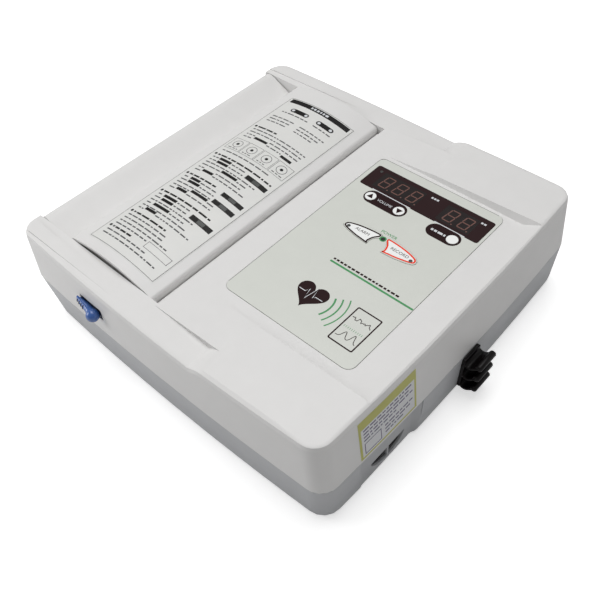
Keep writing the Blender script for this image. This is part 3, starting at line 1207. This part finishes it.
def idler_centre():
    return PLATEN_X, PLATEN_Z - GEAR_MODULE * (PLATEN_TEETH + IDLER_TEETH) / 2


def pinion_centre():
    x, z = idler_centre()
    reach = GEAR_MODULE * (IDLER_TEETH + PINION_TEETH) / 2
    return x + reach * math.cos(PINION_ANGLE), z + reach * math.sin(PINION_ANGLE)


def gear_span():
    near = -CHASSIS_HALF - GEAR_SIDE_GAP
    return near - GEAR_WIDTH, near


def make_gears():
    lo, hi = gear_span()
    nylon = finish("gear_nylon", (0.62, 0.60, 0.55), 0.45)
    gear("platen_gear", (PLATEN_X, PLATEN_Z), PLATEN_TEETH, PLATEN_SHAFT_RADIUS + SEAT_GAP, -math.pi / 2,
         lo, hi, nylon)
    idler_phase = math.pi / 2 + math.pi / IDLER_TEETH
    gear("idler_gear", idler_centre(), IDLER_TEETH, IDLER_PIN_RADIUS + RUN_GAP, idler_phase, lo, hi, nylon)
    share = ((PINION_ANGLE - idler_phase) / (math.tau / IDLER_TEETH)) % 1.0
    phase = PINION_ANGLE + math.pi + (share + 0.5) * math.tau / PINION_TEETH
    pinion = gear("motor_pinion", pinion_centre(), PINION_TEETH, 0.0, phase, lo, hi, steel())
    px, pz = pinion_centre()
    join(pinion, rod("motor_shaft", "Y", (px, 0, pz), MOTOR_SHAFT_RADIUS, (lo + hi) / 2,
                     -CHASSIS_HALF + CHASSIS_THICK + MOTOR_LENGTH / 2, cutter=True, sides=14))


def make_platen():
    half = PLATEN_LENGTH / 2
    end = door_half() - CHEEK_INSET - CHEEK_THICK / 2
    core = PLATEN_CORE_RADIUS
    shaft = PLATEN_SHAFT_RADIUS
    turned("platen_core", "Y", (PLATEN_X, 0, PLATEN_Z), [(0, end), (shaft, end), (shaft, half), (core, half),
                                                         (core, -half), (shaft, -half), (shaft, -end), (0, -end)],
           steel(), sides=20)
    turned("platen_rubber", "Y", (PLATEN_X, 0, PLATEN_Z), [(PLATEN_RADIUS, half), (PLATEN_RADIUS, -half),
                                                           (core + SEAT_GAP, -half), (core + SEAT_GAP, half)],
           rubber(), sides=24)


def make_motor():
    x, z = pinion_centre()
    y = -CHASSIS_HALF + CHASSIS_THICK + SEAT_GAP
    r = MOTOR_RADIUS
    edge = MOTOR_EDGE
    motor = turned("stepper_motor", "Y", (x, 0, z), [(0, y + MOTOR_LENGTH), (r - edge, y + MOTOR_LENGTH),
                                                     (r, y + MOTOR_LENGTH - edge), (r, y), (0, y)], steel(), sides=24)
    boss = y - SEAT_GAP - MOTOR_BOSS_LENGTH
    join(motor, rod("motor_boss", "Y", (x, 0, z), MOTOR_BOSS_RADIUS, boss, y + edge, cutter=True, sides=20))
    cut(motor, rod("motor_bore", "Y", (x, 0, z), MOTOR_SHAFT_RADIUS + RUN_GAP, boss - CUT_OVER,
                   -CHASSIS_HALF + CHASSIS_THICK + MOTOR_LENGTH / 2 + edge, cutter=True, sides=14))


def make_chassis():
    """Folded steel frame: a shelf under the head, two side plates with turned-out feet, the idler's pin."""
    left, right = CHASSIS_LEFT_X, CHASSIS_RIGHT_X
    low = FLOOR_Z + SEAT_GAP
    inside = CHASSIS_HALF - CHASSIS_THICK
    slope = CHASSIS_FOOT
    outline = [(left, low), (right, low), (right, CHASSIS_TOP_Z - 2 * slope), (right - slope, CHASSIS_TOP_Z - slope),
               (PLATEN_X + PLATEN_RADIUS, CHASSIS_TOP_Z - slope), (PLATEN_X + PLATEN_RADIUS, CHASSIS_TOP_Z),
               (PLATEN_X - PLATEN_RADIUS, CHASSIS_TOP_Z), (left, CHASSIS_TOP_Z - slope)]
    shelf_right = pinion_centre()[0] - MOTOR_RADIUS - RUN_GAP
    chassis = box("printer_chassis", (left, shelf_right), (-inside - CHASSIS_THICK / 3, inside + CHASSIS_THICK / 3),
                  (CHASSIS_SHELF_Z, CHASSIS_SHELF_Z + CHASSIS_THICK), steel())
    for side in (-1, 1):
        lo, hi = sorted((side * inside, side * CHASSIS_HALF))
        join(chassis, prism(f"side_plate_{side + 1}", outline, "Y", lo, hi, cutter=True))
        lo, hi = sorted((side * (inside - CHASSIS_FOOT), side * (CHASSIS_HALF - CHASSIS_THICK / 2)))
        join(chassis, box(f"chassis_foot_{side + 1}", (left + CHASSIS_THICK / 2, right - CHASSIS_THICK / 2), (lo, hi),
                          (low, low + CHASSIS_THICK), cutter=True))
    x, z = idler_centre()
    cut(chassis, rod("pin_hole", "Y", (x, 0, z), IDLER_PIN_RADIUS + SEAT_GAP, -CHASSIS_HALF - CUT_OVER,
                     -inside + CUT_OVER, cutter=True, sides=16))
    x, z = pinion_centre()
    cut(chassis, rod("boss_hole", "Y", (x, 0, z), MOTOR_BOSS_RADIUS + RUN_GAP, -CHASSIS_HALF - CUT_OVER,
                     -inside + CUT_OVER, cutter=True, sides=20))
    window_low, window_high = low + slope, CHASSIS_SHELF_Z - slope
    for side in (-1, 1):
        lo, hi = sorted((side * (inside - CUT_OVER), side * (CHASSIS_HALF + CUT_OVER)))
        cut(chassis, box(f"plate_window_{side + 1}", (left + slope, shelf_right - slope / 2), (lo, hi),
                         (window_low, window_high), cutter=True))


def make_idler_pin():
    """Pin that the idler turns on, through the side plate, with its head inside."""
    x, z = idler_centre()
    inside = -CHASSIS_HALF + CHASSIS_THICK + SEAT_GAP
    pin = rod("idler_pin", "Y", (x, 0, z), IDLER_PIN_RADIUS, gear_span()[0] - GEAR_SIDE_GAP,
              inside + IDLER_HEAD_THICK / 2, steel(), sides=16)
    join(pin, rod("pin_head", "Y", (x, 0, z), IDLER_HEAD_RADIUS, inside, inside + IDLER_HEAD_THICK,
                  cutter=True, sides=16))


def head_levels():
    top = PLATEN_Z - PLATEN_RADIUS - SEAT_GAP
    sink_top = top - CERAMIC_THICK - SEAT_GAP
    return top, sink_top, sink_top - SINK_THICK


def make_head():
    top, sink_top, sink_low = head_levels()
    half = HEAD_LENGTH / 2
    left, right = PLATEN_X - HEAD_LEFT, PLATEN_X + HEAD_RIGHT
    box("print_head", (left + HEAD_LEFT / 3, right), (-half, half), (top - CERAMIC_THICK, top),
        finish("head_ceramic", (0.30, 0.22, 0.16), 0.25))
    pitch = (right - left) / (SINK_GROOVES + 1)
    outline = [(left, sink_top), (left, sink_low)]
    for i in range(1, SINK_GROOVES + 1):
        mid = left + pitch * i
        for x, z in ((mid - SINK_GROOVE / 2, sink_low), (mid - SINK_GROOVE / 2, sink_low + SINK_THICK / 2),
                     (mid + SINK_GROOVE / 2, sink_low + SINK_THICK / 2), (mid + SINK_GROOVE / 2, sink_low)):
            outline.append((x, z))
    outline += [(right, sink_low), (right, sink_top)]
    prism("head_heat_sink", outline, "Y", -half, half, finish("aluminium", (0.6, 0.6, 0.6), 0.4, 1.0))
    shelf = CHASSIS_SHELF_Z + CHASSIS_THICK
    x = left + pitch / 2
    for name, side in (("head_spring_front", -1), ("head_spring_back", 1)):
        low, high = shelf + SEAT_GAP + HEAD_SPRING_WIRE, sink_low - SEAT_GAP - HEAD_SPRING_WIRE
        coil(name, (x + SINK_GROOVE, side * HEAD_SPRING_OFFSET, (low + high) / 2), "Z", HEAD_SPRING_RADIUS,
             HEAD_SPRING_WIRE, HEAD_SPRING_TURNS, high - low, steel())


# Paper.
def tray_outline(wall):
    """Trough in the side view, `wall` in from its outside, with a large round where the roll lies."""
    left, right = TRAY_LEFT_X + wall, TRAY_RIGHT_X - wall
    low = FLOOR_Z + SEAT_GAP + wall
    r = TRAY_CORNER - wall
    top = TRAY_TOP_Z + (CUT_OVER if wall else 0.0)
    return ([(left, top)] + arc(left + r, low + r, r, math.pi, 1.5 * math.pi, 6)
            + arc(right - r, low + r, r, 1.5 * math.pi, math.tau, 6) + [(right, top)])


def make_tray():
    tray = prism("paper_tray", tray_outline(0.0), "Y", -TRAY_HALF, TRAY_HALF, grey_plastic())
    inner = TRAY_HALF - TRAY_WALL
    cut(tray, prism("tray_hollow", tray_outline(TRAY_WALL), "Y", -inner, inner, cutter=True))
    half = TRAY_NOTCH / 2
    notch = rounded((-half, half), (TRAY_TOP_Z - TRAY_NOTCH_DEPTH, TRAY_TOP_Z + TRAY_NOTCH_DEPTH),
                    TRAY_NOTCH_DEPTH / 2)
    cut(tray, prism("finger_notch", notch, "X", TRAY_LEFT_X - CUT_OVER, TRAY_LEFT_X + TRAY_WALL + CUT_OVER,
                    cutter=True))


def make_pack():
    """Fan-folded chart paper, its folds standing out a little by turns at either end."""
    left = (TRAY_LEFT_X + TRAY_RIGHT_X - PACK_LENGTH_X) / 2
    right = left + PACK_LENGTH_X
    low = FLOOR_Z + TRAY_WALL + 2 * SEAT_GAP
    step = PACK_HEIGHT / PACK_FOLDS / 2
    zig = [low + step * i for i in range(2 * PACK_FOLDS + 1)]
    up = [(right - (PACK_FOLD_DEPTH if i % 2 else 0.0), z) for i, z in enumerate(zig)]
    down = [(left + (0.0 if i % 2 else PACK_FOLD_DEPTH), z) for i, z in enumerate(zig)]
    prism("paper_pack", up + down[::-1], "Y", -PACK_WIDTH / 2, PACK_WIDTH / 2,
          finish("chart_paper", (0.86, 0.84, 0.80), 0.8))


# Release lever.
def make_lever():
    """Ribbed drum in the slot, ball knob below it, and the catch arm that reaches through the rail."""
    axis = lever_axis()
    x0 = LEVER_X - LEVER_DRUM_LENGTH / 2
    x1 = LEVER_X + LEVER_DRUM_LENGTH / 2
    blue = finish("blue_lever", (0.045, 0.12, 0.42), 0.35)
    lever = rod("release_lever", "X", (0, axis, LEVER_Z), LEVER_DRUM_RADIUS, x0, x1, blue, sides=18)
    left = LEVER_X - LEVER_SLOT_LENGTH / 2 - 2.5 * LEVER_RIB
    join(lever, rod("lever_shaft", "X", (0, axis, LEVER_Z), LEVER_SHAFT_RADIUS, left, LEVER_RIGHT_X,
                    cutter=True, sides=16))
    knob = Vector((LEVER_X + KNOB_RIGHT, -front_face(LEVER_X, LEVER_Z) - KNOB_OUT, LEVER_Z - KNOB_DOWN))
    bm = bmesh.new()
    bmesh.ops.create_uvsphere(bm, u_segments=12, v_segments=8, radius=KNOB_RADIUS)
    bmesh.ops.translate(bm, verts=bm.verts, vec=knob)
    join(lever, put("knob_ball", mesh_of(bm, "knob_ball"), cutter=True))
    to_knob = knob - Vector((knob.x, axis, LEVER_Z))
    neck = rod("knob_neck", "Z", (0, 0, 0), KNOB_NECK, 0.0, to_knob.length, cutter=True, sides=12)
    neck.matrix_world = Matrix.Translation((knob.x, axis, LEVER_Z)) @ to_knob.to_track_quat("Z", "Y").to_matrix().to_4x4()
    join(lever, neck)
    w, t = CATCH_WIDTH / 2, CATCH_THICK / 2
    tip = -(door_half() - CHEEK_INSET) - CATCH_AIR
    hub, near, far = LEVER_SHAFT_RADIUS, axis + CATCH_SET - t, axis + CATCH_SET + t
    arm = prism("catch_arm", [(axis - hub, LEVER_Z + hub / 2), (axis - hub, LEVER_Z - hub / 2),
                              (near, LEVER_Z - hub - t), (near, CATCH_Z - t), (tip, CATCH_Z - t), (tip, CATCH_Z + t),
                              (far, CATCH_Z + t), (far, LEVER_Z - hub), (axis + hub, LEVER_Z + hub / 2)],
                "X", CATCH_X - w, CATCH_X + w, cutter=True)
    join(lever, arm)
    pitch = (LEVER_DRUM_LENGTH / 2 - KNOB_RADIUS / 2) / GRIP_RIBS
    reach = LEVER_DRUM_RADIUS + GRIP_RIB / 2
    for i in range(GRIP_RIBS):
        x = x0 + pitch * (i + 0.5)
        join(lever, rod(f"grip_{i}", "X", (0, axis, LEVER_Z), reach, x, x + GRIP_RIB, cutter=True, sides=12))
    return pivot(lever, (LEVER_X, axis, LEVER_Z))


def spring_radius():
    return LEVER_SHAFT_RADIUS + LEVER_SPRING_WIRE + SEAT_GAP


def make_lever_spring():
    x = (LEVER_X + LEVER_DRUM_LENGTH / 2 + CATCH_X - CATCH_WIDTH / 2) / 2
    coil("lever_spring", (x, lever_axis(), LEVER_Z), "X", spring_radius(), LEVER_SPRING_WIRE, LEVER_SPRING_TURNS,
         LEVER_SPRING_LENGTH - LEVER_SPRING_WIRE, steel())


# Keypad and display.
def make_overlay():
    low = OVERLAY_PROUD - OVERLAY_THICK
    sheet = on_panel(prism("keypad_overlay", overlay_outline(), "Z", low, OVERLAY_PROUD,
                           finish("overlay_film", (0.58, 0.60, 0.56), 0.4)))
    cut(sheet, on_panel(prism("sheet_window", window_outline(RUN_GAP), "Z", low - CUT_OVER, CUT_OVER, cutter=True)))
    for name, outline in key_outlines(RUN_GAP).items():
        cut(sheet, on_panel(prism(f"{name}_hole", outline, "Z", low - CUT_OVER, CUT_OVER, cutter=True)))
    at = led_places()["led_power"]
    cut(sheet, on_panel(rod("led_power_hole", "Z", (*at, 0), LED_RADIUS + RUN_GAP, low - CUT_OVER, CUT_OVER,
                            cutter=True, sides=12)))


def make_window():
    on_panel(prism("display_window", window_outline(), "Z", OVERLAY_PROUD - WINDOW_THICK, OVERLAY_PROUD,
                   finish("smoked_acrylic", (0.02, 0.008, 0.008), 0.12)))


def digit_spans(left, count, top):
    """Seven bars to each digit, as blocks sunk in the block's face."""
    spans = []
    deep = top - DIGIT_FACE_RECESS
    for i in range(count):
        x = left + DIGIT_WIDTH * (i + 0.5)
        half, wide, bar = SEGMENT_LENGTH / 2, SEGMENT_WIDTH / 2, SEGMENT_LENGTH + SEGMENT_WIDTH / 2
        for row in (-1, 0, 1):
            y = WINDOW_MIDDLE + row * bar
            spans.append(((x - half, x + half), (y - wide, y + wide), (deep, top + CUT_OVER)))
        for column in (-1, 1):
            for row in (-1, 1):
                cx = x + column * (half + wide + SEGMENT_WIDTH / 2)
                y = WINDOW_MIDDLE + row * bar / 2
                spans.append(((cx - wide, cx + wide), (y - half + wide, y + half - wide), (deep, top + CUT_OVER)))
    return spans


def make_digits():
    top = OVERLAY_PROUD - WINDOW_THICK - SEAT_GAP
    low = top - DIGIT_BLOCK_HEIGHT
    for name, left, count in (("digits_rate", RATE_BLOCK_LEFT, RATE_DIGITS), ("digits_toco", TOCO_BLOCK_LEFT, TOCO_DIGITS)):
        block = on_panel(box(name, (left, left + DIGIT_WIDTH * count),
                             (WINDOW_MIDDLE - DIGIT_DEPTH / 2, WINDOW_MIDDLE + DIGIT_DEPTH / 2), (low, top),
                             finish("digit_face", (0.05, 0.03, 0.03), 0.4)))
        cut(block, on_panel(blocks(f"{name}_bars", digit_spans(left, count, top), cutter=True)))


def make_display_board():
    left, right = OVERLAY_LEFT, OVERLAY_LEFT + OVERLAY_WIDTH
    board = on_panel(box("display_board", (left, right), (BOARD_FRONT, BOARD_BACK),
                         (BOARD_TOP - BOARD_THICK, BOARD_TOP), board_green()))
    for i, at in enumerate(post_places()):
        cut(board, on_panel(rod(f"board_hole_{i}", "Z", (*at, 0), POST_RADIUS / 2 + RUN_GAP,
                                BOARD_TOP - BOARD_THICK - CUT_OVER, BOARD_TOP + CUT_OVER, cutter=True, sides=12)))
    low = BOARD_TOP - BOARD_THICK - SEAT_GAP - BOARD_SCREW_HEAD
    for i, at in enumerate(post_places()):
        on_panel(screw(f"board_screw_{i + 1}", Matrix.Translation((*at, low)), BOARD_SCREW_RADIUS, BOARD_SCREW_HEAD,
                       POST_RADIUS / 2 - RUN_GAP, BOARD_SCREW_HEAD + BOARD_THICK + 2 * POST_RADIUS))
    half = SWITCH_SIDE / 2
    for name, (x, y) in key_stems().items():
        join(board, on_panel(box(f"{name}_switch", (x - half, x + half), (y - half, y + half),
                                 (BOARD_TOP - BOARD_THICK / 2, stem_low() - KEY_TRAVEL - SWITCH_FREE_PLAY),
                                 cutter=True)))


def stem_low():
    return BOARD_TOP + SWITCH_SIDE * 0.7


def make_keys():
    top = OVERLAY_PROUD + KEY_PROUD
    white = finish("key_white", (0.80, 0.82, 0.82), 0.4)
    stems = key_stems()
    for name, outline in key_outlines().items():
        key = on_panel(prism(name, outline, "Z", top - KEY_CAP_THICK, top, white))
        join(key, on_panel(rod(f"{name}_stem", "Z", (*stems[name], 0), KEY_STEM_RADIUS, stem_low(),
                               top - KEY_CAP_THICK / 2, cutter=True, sides=10)))
        pivot(key, (*stems[name], 0))


def make_leds():
    places = led_places()
    glow = finish("led_lens", (0.05, 0.16, 0.08), 0.25)
    at = places["led_power"]
    on_panel(rod("led_power", "Z", (*at, 0), LED_RADIUS, OVERLAY_PROUD - LED_LENGTH, OVERLAY_PROUD, glow, sides=14))


# Electronics.
def make_boards():
    low = FLOOR_Z + MAIN_BOARD_LIFT
    board = box("main_board", (MAIN_BOARD_LEFT, MAIN_BOARD_RIGHT), (MAIN_BOARD_FRONT, MAIN_BOARD_BACK),
                (low, low + BOARD_THICK), board_green())
    wide, deep = MAIN_BOARD_RIGHT - MAIN_BOARD_LEFT, MAIN_BOARD_BACK - MAIN_BOARD_FRONT
    # parts on the board, as shares of its width and depth, with heights in steps of its thickness
    chip_shares = ((0.18, 0.22, 0.22, 0.16, 1.2), (0.55, 0.20, 0.20, 0.20, 1.6), (0.30, 0.55, 0.30, 0.14, 2.4),
                   (0.72, 0.62, 0.14, 0.24, 5.0), (0.16, 0.84, 0.24, 0.06, 5.5), (0.60, 0.90, 0.40, 0.06, 5.5))
    for i, (cx, cy, w, d, h) in enumerate(chip_shares):
        x, y = MAIN_BOARD_LEFT + wide * cx, MAIN_BOARD_FRONT + deep * cy
        join(board, box(f"chip_{i}", (x - wide * w / 2, x + wide * w / 2), (y - deep * d / 2, y + deep * d / 2),
                        (low + BOARD_THICK / 2, low + BOARD_THICK * (1 + h)), cutter=True))


def make_supply():
    low = FLOOR_Z + SEAT_GAP
    supply = box("power_supply", (SUPPLY_LEFT, SUPPLY_RIGHT), (SUPPLY_FRONT, SUPPLY_BACK), (low, low + SUPPLY_HEIGHT),
                 finish("zinc_can", (0.5, 0.51, 0.52), 0.4, 1.0))
    spans = []
    count = 7
    pitch = (SUPPLY_RIGHT - SUPPLY_LEFT) / (count + 1)
    quarter = (SUPPLY_BACK - SUPPLY_FRONT) / 4
    for i in range(count):
        x = SUPPLY_LEFT + pitch * (i + 1)
        spans.append(((x - pitch / 6, x + pitch / 6), (SUPPLY_FRONT + quarter, SUPPLY_BACK - quarter),
                      (low + SUPPLY_HEIGHT - WALL, low + SUPPLY_HEIGHT + CUT_OVER)))
    cut(supply, blocks("supply_slots", spans, cutter=True))


def make_speaker():
    low = FLOOR_Z + SEAT_GAP
    r, m = SPEAKER_RADIUS, SPEAKER_MAGNET
    rim = WALL / 2
    turned("speaker", "Z", (SPEAKER_X, SPEAKER_Y, 0), [
        (0, low + SPEAKER_HEIGHT), (m, low + SPEAKER_HEIGHT), (m, low + SPEAKER_HEIGHT / 2),
        (r - rim, low + 2 * rim), (r, low + 2 * rim), (r, low), (r - 2 * rim, low),
        (m / 2, low + SPEAKER_HEIGHT / 4), (0, low + SPEAKER_HEIGHT / 4)], black_plastic(), sides=20)


def make_sockets():
    x1 = socket_floor_x() - WALL - SEAT_GAP
    x0 = x1 - SOCKET_BLOCK_DEPTH
    wide = SOCKET_HALF - SOCKET_RIB / 2
    low = FLOOR_Z + SEAT_GAP
    shell = finish("socket_nylon", (0.03, 0.03, 0.03), 0.5)
    for i, side in enumerate((-1, 1)):
        near = SOCKET_MIDDLE + side * SOCKET_RIB / 2
        far = near + side * wide
        y0, y1 = sorted((near, far))
        block = box(f"probe_socket_{i + 1}", (x0, x1), (y0, y1), (low, SOCKET_BLOCK_TOP), shell)
        z0, z1 = SOCKET_TOP_Z - SOCKET_DEEP * 0.8, SOCKET_TOP_Z - SOCKET_RIB / 2
        c0, c1 = sorted((near + side * SOCKET_RIB, near + side * wide * 0.82))
        cut(block, box(f"socket_cavity_{i}", (x1 - SOCKET_CAVITY, x1 + CUT_OVER), (c0, c1), (z0, z1), cutter=True))
        join(block, box(f"contact_strip_{i}", (x1 - SOCKET_CAVITY - SOCKET_RIB, x1 - SOCKET_RIB),
                        (c0 + SOCKET_RIB, c1 - SOCKET_RIB), (z1 - SOCKET_TONGUE, z1 + SOCKET_TONGUE), cutter=True))


# Rear and side fittings.
def make_inlet():
    w, h, f = INLET_WIDTH / 2, INLET_HEIGHT / 2, INLET_FLANGE
    inlet = at_rear(prism("power_inlet", rounded((-w - f, w + f), (-h - f, h + f), f), "Y", SEAT_GAP,
                          SEAT_GAP + INLET_FLANGE_THICK, black_plastic()), INLET_X)
    join(inlet, at_rear(box("inlet_body", (-w, w), (-INLET_DEPTH, SEAT_GAP + INLET_FLANGE_THICK / 2), (-h, h), cutter=True), INLET_X))
    lip = INLET_FLANGE_THICK
    cut(inlet, at_rear(prism("inlet_cavity", [(-w + lip, -h + lip), (w - lip, -h + lip), (w - lip, h - 2 * lip),
                                              (w - 2 * lip, h - lip), (-w + 2 * lip, h - lip), (-w + lip, h - 2 * lip)],
                             "Y", -INLET_DEPTH + lip, CUT_OVER, cutter=True), INLET_X))
    third = (w - lip) / 2
    blade = INLET_BLADE / 2
    for i, (x, z) in enumerate(((-third, -lip), (0.0, lip), (third, -lip))):
        join(inlet, at_rear(box(f"inlet_blade_{i}", (x - blade, x + blade), (-INLET_DEPTH + lip / 2, -INLET_FREE),
                                (z - lip, z + lip), cutter=True), INLET_X))


def make_rocker():
    w, h, f = ROCKER_WIDTH / 2 + RUN_GAP, ROCKER_HEIGHT / 2 + 2 * RUN_GAP, ROCKER_FRAME
    body = ROCKER_FRAME
    frame = at_rear(prism("switch_frame", rounded((-w - 2 * f, w + 2 * f), (-h - 2 * f, h + 2 * f), f), "Y", SEAT_GAP,
                          SEAT_GAP + INLET_FLANGE_THICK, black_plastic()), ROCKER_X)
    outer_w, outer_h = ROCKER_WIDTH / 2 + body, ROCKER_HEIGHT / 2 + body
    join(frame, at_rear(box("switch_body", (-outer_w, outer_w), (-ROCKER_DEPTH, SEAT_GAP + INLET_FLANGE_THICK / 2), (-outer_h, outer_h),
                            cutter=True), ROCKER_X))
    cut(frame, at_rear(box("switch_cavity", (-w, w), (-ROCKER_DEPTH + body, CUT_OVER), (-h, h), cutter=True), ROCKER_X))
    cut(frame, at_rear(rod("switch_pin_bore", "X", (0, 0, 0), ROCKER_PIN + RUN_GAP, -w - body / 2, w + body / 2,
                           cutter=True, sides=12), ROCKER_X))
    face = INLET_FLANGE_THICK + SEAT_GAP
    high = ROCKER_HEIGHT / 2
    hub = 3 * ROCKER_PIN
    tilt = Matrix.Rotation(ROCKER_TILT, 4, "X")
    profile = [tilt @ Vector((0, y, z)) for y, z in ((face, high - face / 2), (face / 3, 0.0), (face, -high + face / 2),
                                                     (-face / 2, -high + face / 2), (-hub, -hub), (-hub, hub),
                                                     (-face / 2, high - face / 2))]
    rocker = at_rear(prism("power_rocker", [(p.y, p.z) for p in profile], "X", -ROCKER_WIDTH / 2, ROCKER_WIDTH / 2,
                           black_plastic()), ROCKER_X)
    join(rocker, at_rear(rod("rocker_pin", "X", (0, 0, 0), ROCKER_PIN, -w - body / 2 + RUN_GAP, w + body / 2 - RUN_GAP,
                             cutter=True, sides=12), ROCKER_X))


def make_port():
    w, h = PORT_WIDTH / 2, PORT_HEIGHT / 2
    plate = PORT_PLATE / 2
    thin = PORT_SHELL
    port = at_rear(prism("data_port", rounded((-plate, plate), (-h - 2 * thin, h + 2 * thin), 2 * thin), "Y", SEAT_GAP,
                         SEAT_GAP + thin, finish("zinc_can", (0.5, 0.51, 0.52), 0.4, 1.0)), PORT_X)
    slant = h / 4
    shell = [(-w, h), (-w + slant, -h), (w - slant, -h), (w, h)]
    join(port, at_rear(prism("port_shell", shell, "Y", -PORT_DEPTH, PORT_DEPTH / 2, cutter=True), PORT_X))
    inner = [(x * (1 - thin / w), z * (1 - thin / h)) for x, z in shell]
    cut(port, at_rear(prism("port_cavity", inner, "Y", -PORT_DEPTH + thin, PORT_DEPTH, cutter=True), PORT_X))
    for side in (-1, 1):
        x = side * (w + plate) / 2
        join(port, at_rear(rod(f"port_post_{side + 1}", "Y", (x, 0, 0), 2 * thin, SEAT_GAP + thin / 2, PORT_DEPTH / 2,
                               cutter=True, sides=6), PORT_X))


def clip_screw_places():
    """Middles of the gaps between neighbouring hooks."""
    first = -CLIP_HEIGHT / 2 + (CLIP_HOOK + CLIP_PITCH) / 2
    return [first + CLIP_PITCH * i for i in range(CLIP_HOOKS - 1)]


def make_clip():
    """Back plate with three hooks, one above the other: a thin arm that dips, then a thick round lip."""
    low = -CLIP_HEIGHT / 2
    half = CLIP_WIDTH / 2
    x0 = SEAT_GAP
    face = x0 + CLIP_PLATE
    plate = prism("cable_clip", rounded((x0, face), (low, low + CLIP_HEIGHT), CLIP_PLATE / 3, 2), "Y", -half, half,
                  black_plastic())
    on_clip(plate)
    end = x0 + CLIP_REACH
    t = CLIP_HOOK / 2
    lip_x = end - CLIP_LIP_RADIUS
    run = lip_x - face
    # the arm's middle line: level, then an S down to the lip
    line = [(face - t, 0.0), (face + run / 4, 0.0)]
    line += [(face + run * (1 + 3 * i / 5) / 4, -CLIP_DIP * (1 - math.cos(math.pi * i / 5)) / 2) for i in range(1, 6)]
    line.append((lip_x, -CLIP_DIP))
    for i in range(CLIP_HOOKS):
        z = low + t + CLIP_PITCH * i
        upper = [(x, z + dz + t) for x, dz in line]
        lower = [(x, z + dz - t) for x, dz in reversed(line)]
        join(plate, on_clip(prism(f"hook_{i}", lower + upper, "Y", -half, half, cutter=True)))
        lip = rod(f"lip_{i}", "Y", (lip_x, 0, z - CLIP_DIP - t + CLIP_LIP_RADIUS), CLIP_LIP_RADIUS, -half, half,
                  cutter=True, sides=12)
        join(plate, on_clip(lip))
    for i, z in enumerate(clip_screw_places()):
        cut(plate, on_clip(rod(f"clip_hole_{i}", "X", (0, 0, z), CLIP_SCREW + RUN_GAP, -CUT_OVER,
                               face + CLIP_SCREW_HEAD, cutter=True, sides=12)))
        inward = Matrix.Translation((face + SEAT_GAP + CLIP_SCREW_HEAD, 0, z)) @ Matrix.Rotation(-90 * DEG, 4, "Y")
        on_clip(screw(f"clip_screw_{i + 1}", inward, 2 * CLIP_SCREW, CLIP_SCREW_HEAD, CLIP_SCREW,
                      CLIP_SCREW_HEAD + CLIP_PLATE + 2 * WALL))


def centre_on_table():
    """Puts the origin on the table, under the middle of everything that stands out."""
    bpy.context.view_layer.update()
    graph = bpy.context.evaluated_depsgraph_get()
    spots = []
    for ob in bpy.data.collections[PARTS].objects:
        if ob.type != "EMPTY":
            shape = ob.evaluated_get(graph)
            spots += [ob.matrix_world @ v.co for v in shape.to_mesh().vertices]
            shape.to_mesh_clear()
    low = Vector([min(v[i] for v in spots) for i in range(3)])
    high = Vector([max(v[i] for v in spots) for i in range(3)])
    root = bpy.data.objects.new("table_centre", None)
    bpy.data.collections[PARTS].objects.link(root)
    for ob in list(bpy.data.objects):
        if ob.parent is None and ob != root:
            ob.parent = root
    root.location = (-(low.x + high.x) / 2, -(low.y + high.y) / 2, 0)
    bpy.context.view_layer.update()


def main():
    clear_scene()
    make_frames()
    make_cover()
    make_base()
    make_feet()
    make_case_screws()
    make_door()
    make_hinge_rod()
    make_gears()
    make_platen()
    make_motor()
    make_chassis()
    make_idler_pin()
    make_head()
    make_tray()
    make_pack()
    make_lever()
    make_lever_spring()
    make_overlay()
    make_window()
    make_digits()
    make_display_board()
    make_keys()
    make_leds()
    make_boards()
    make_supply()
    make_speaker()
    make_sockets()
    make_inlet()
    make_rocker()
    make_port()
    make_clip()
    centre_on_table()


main()
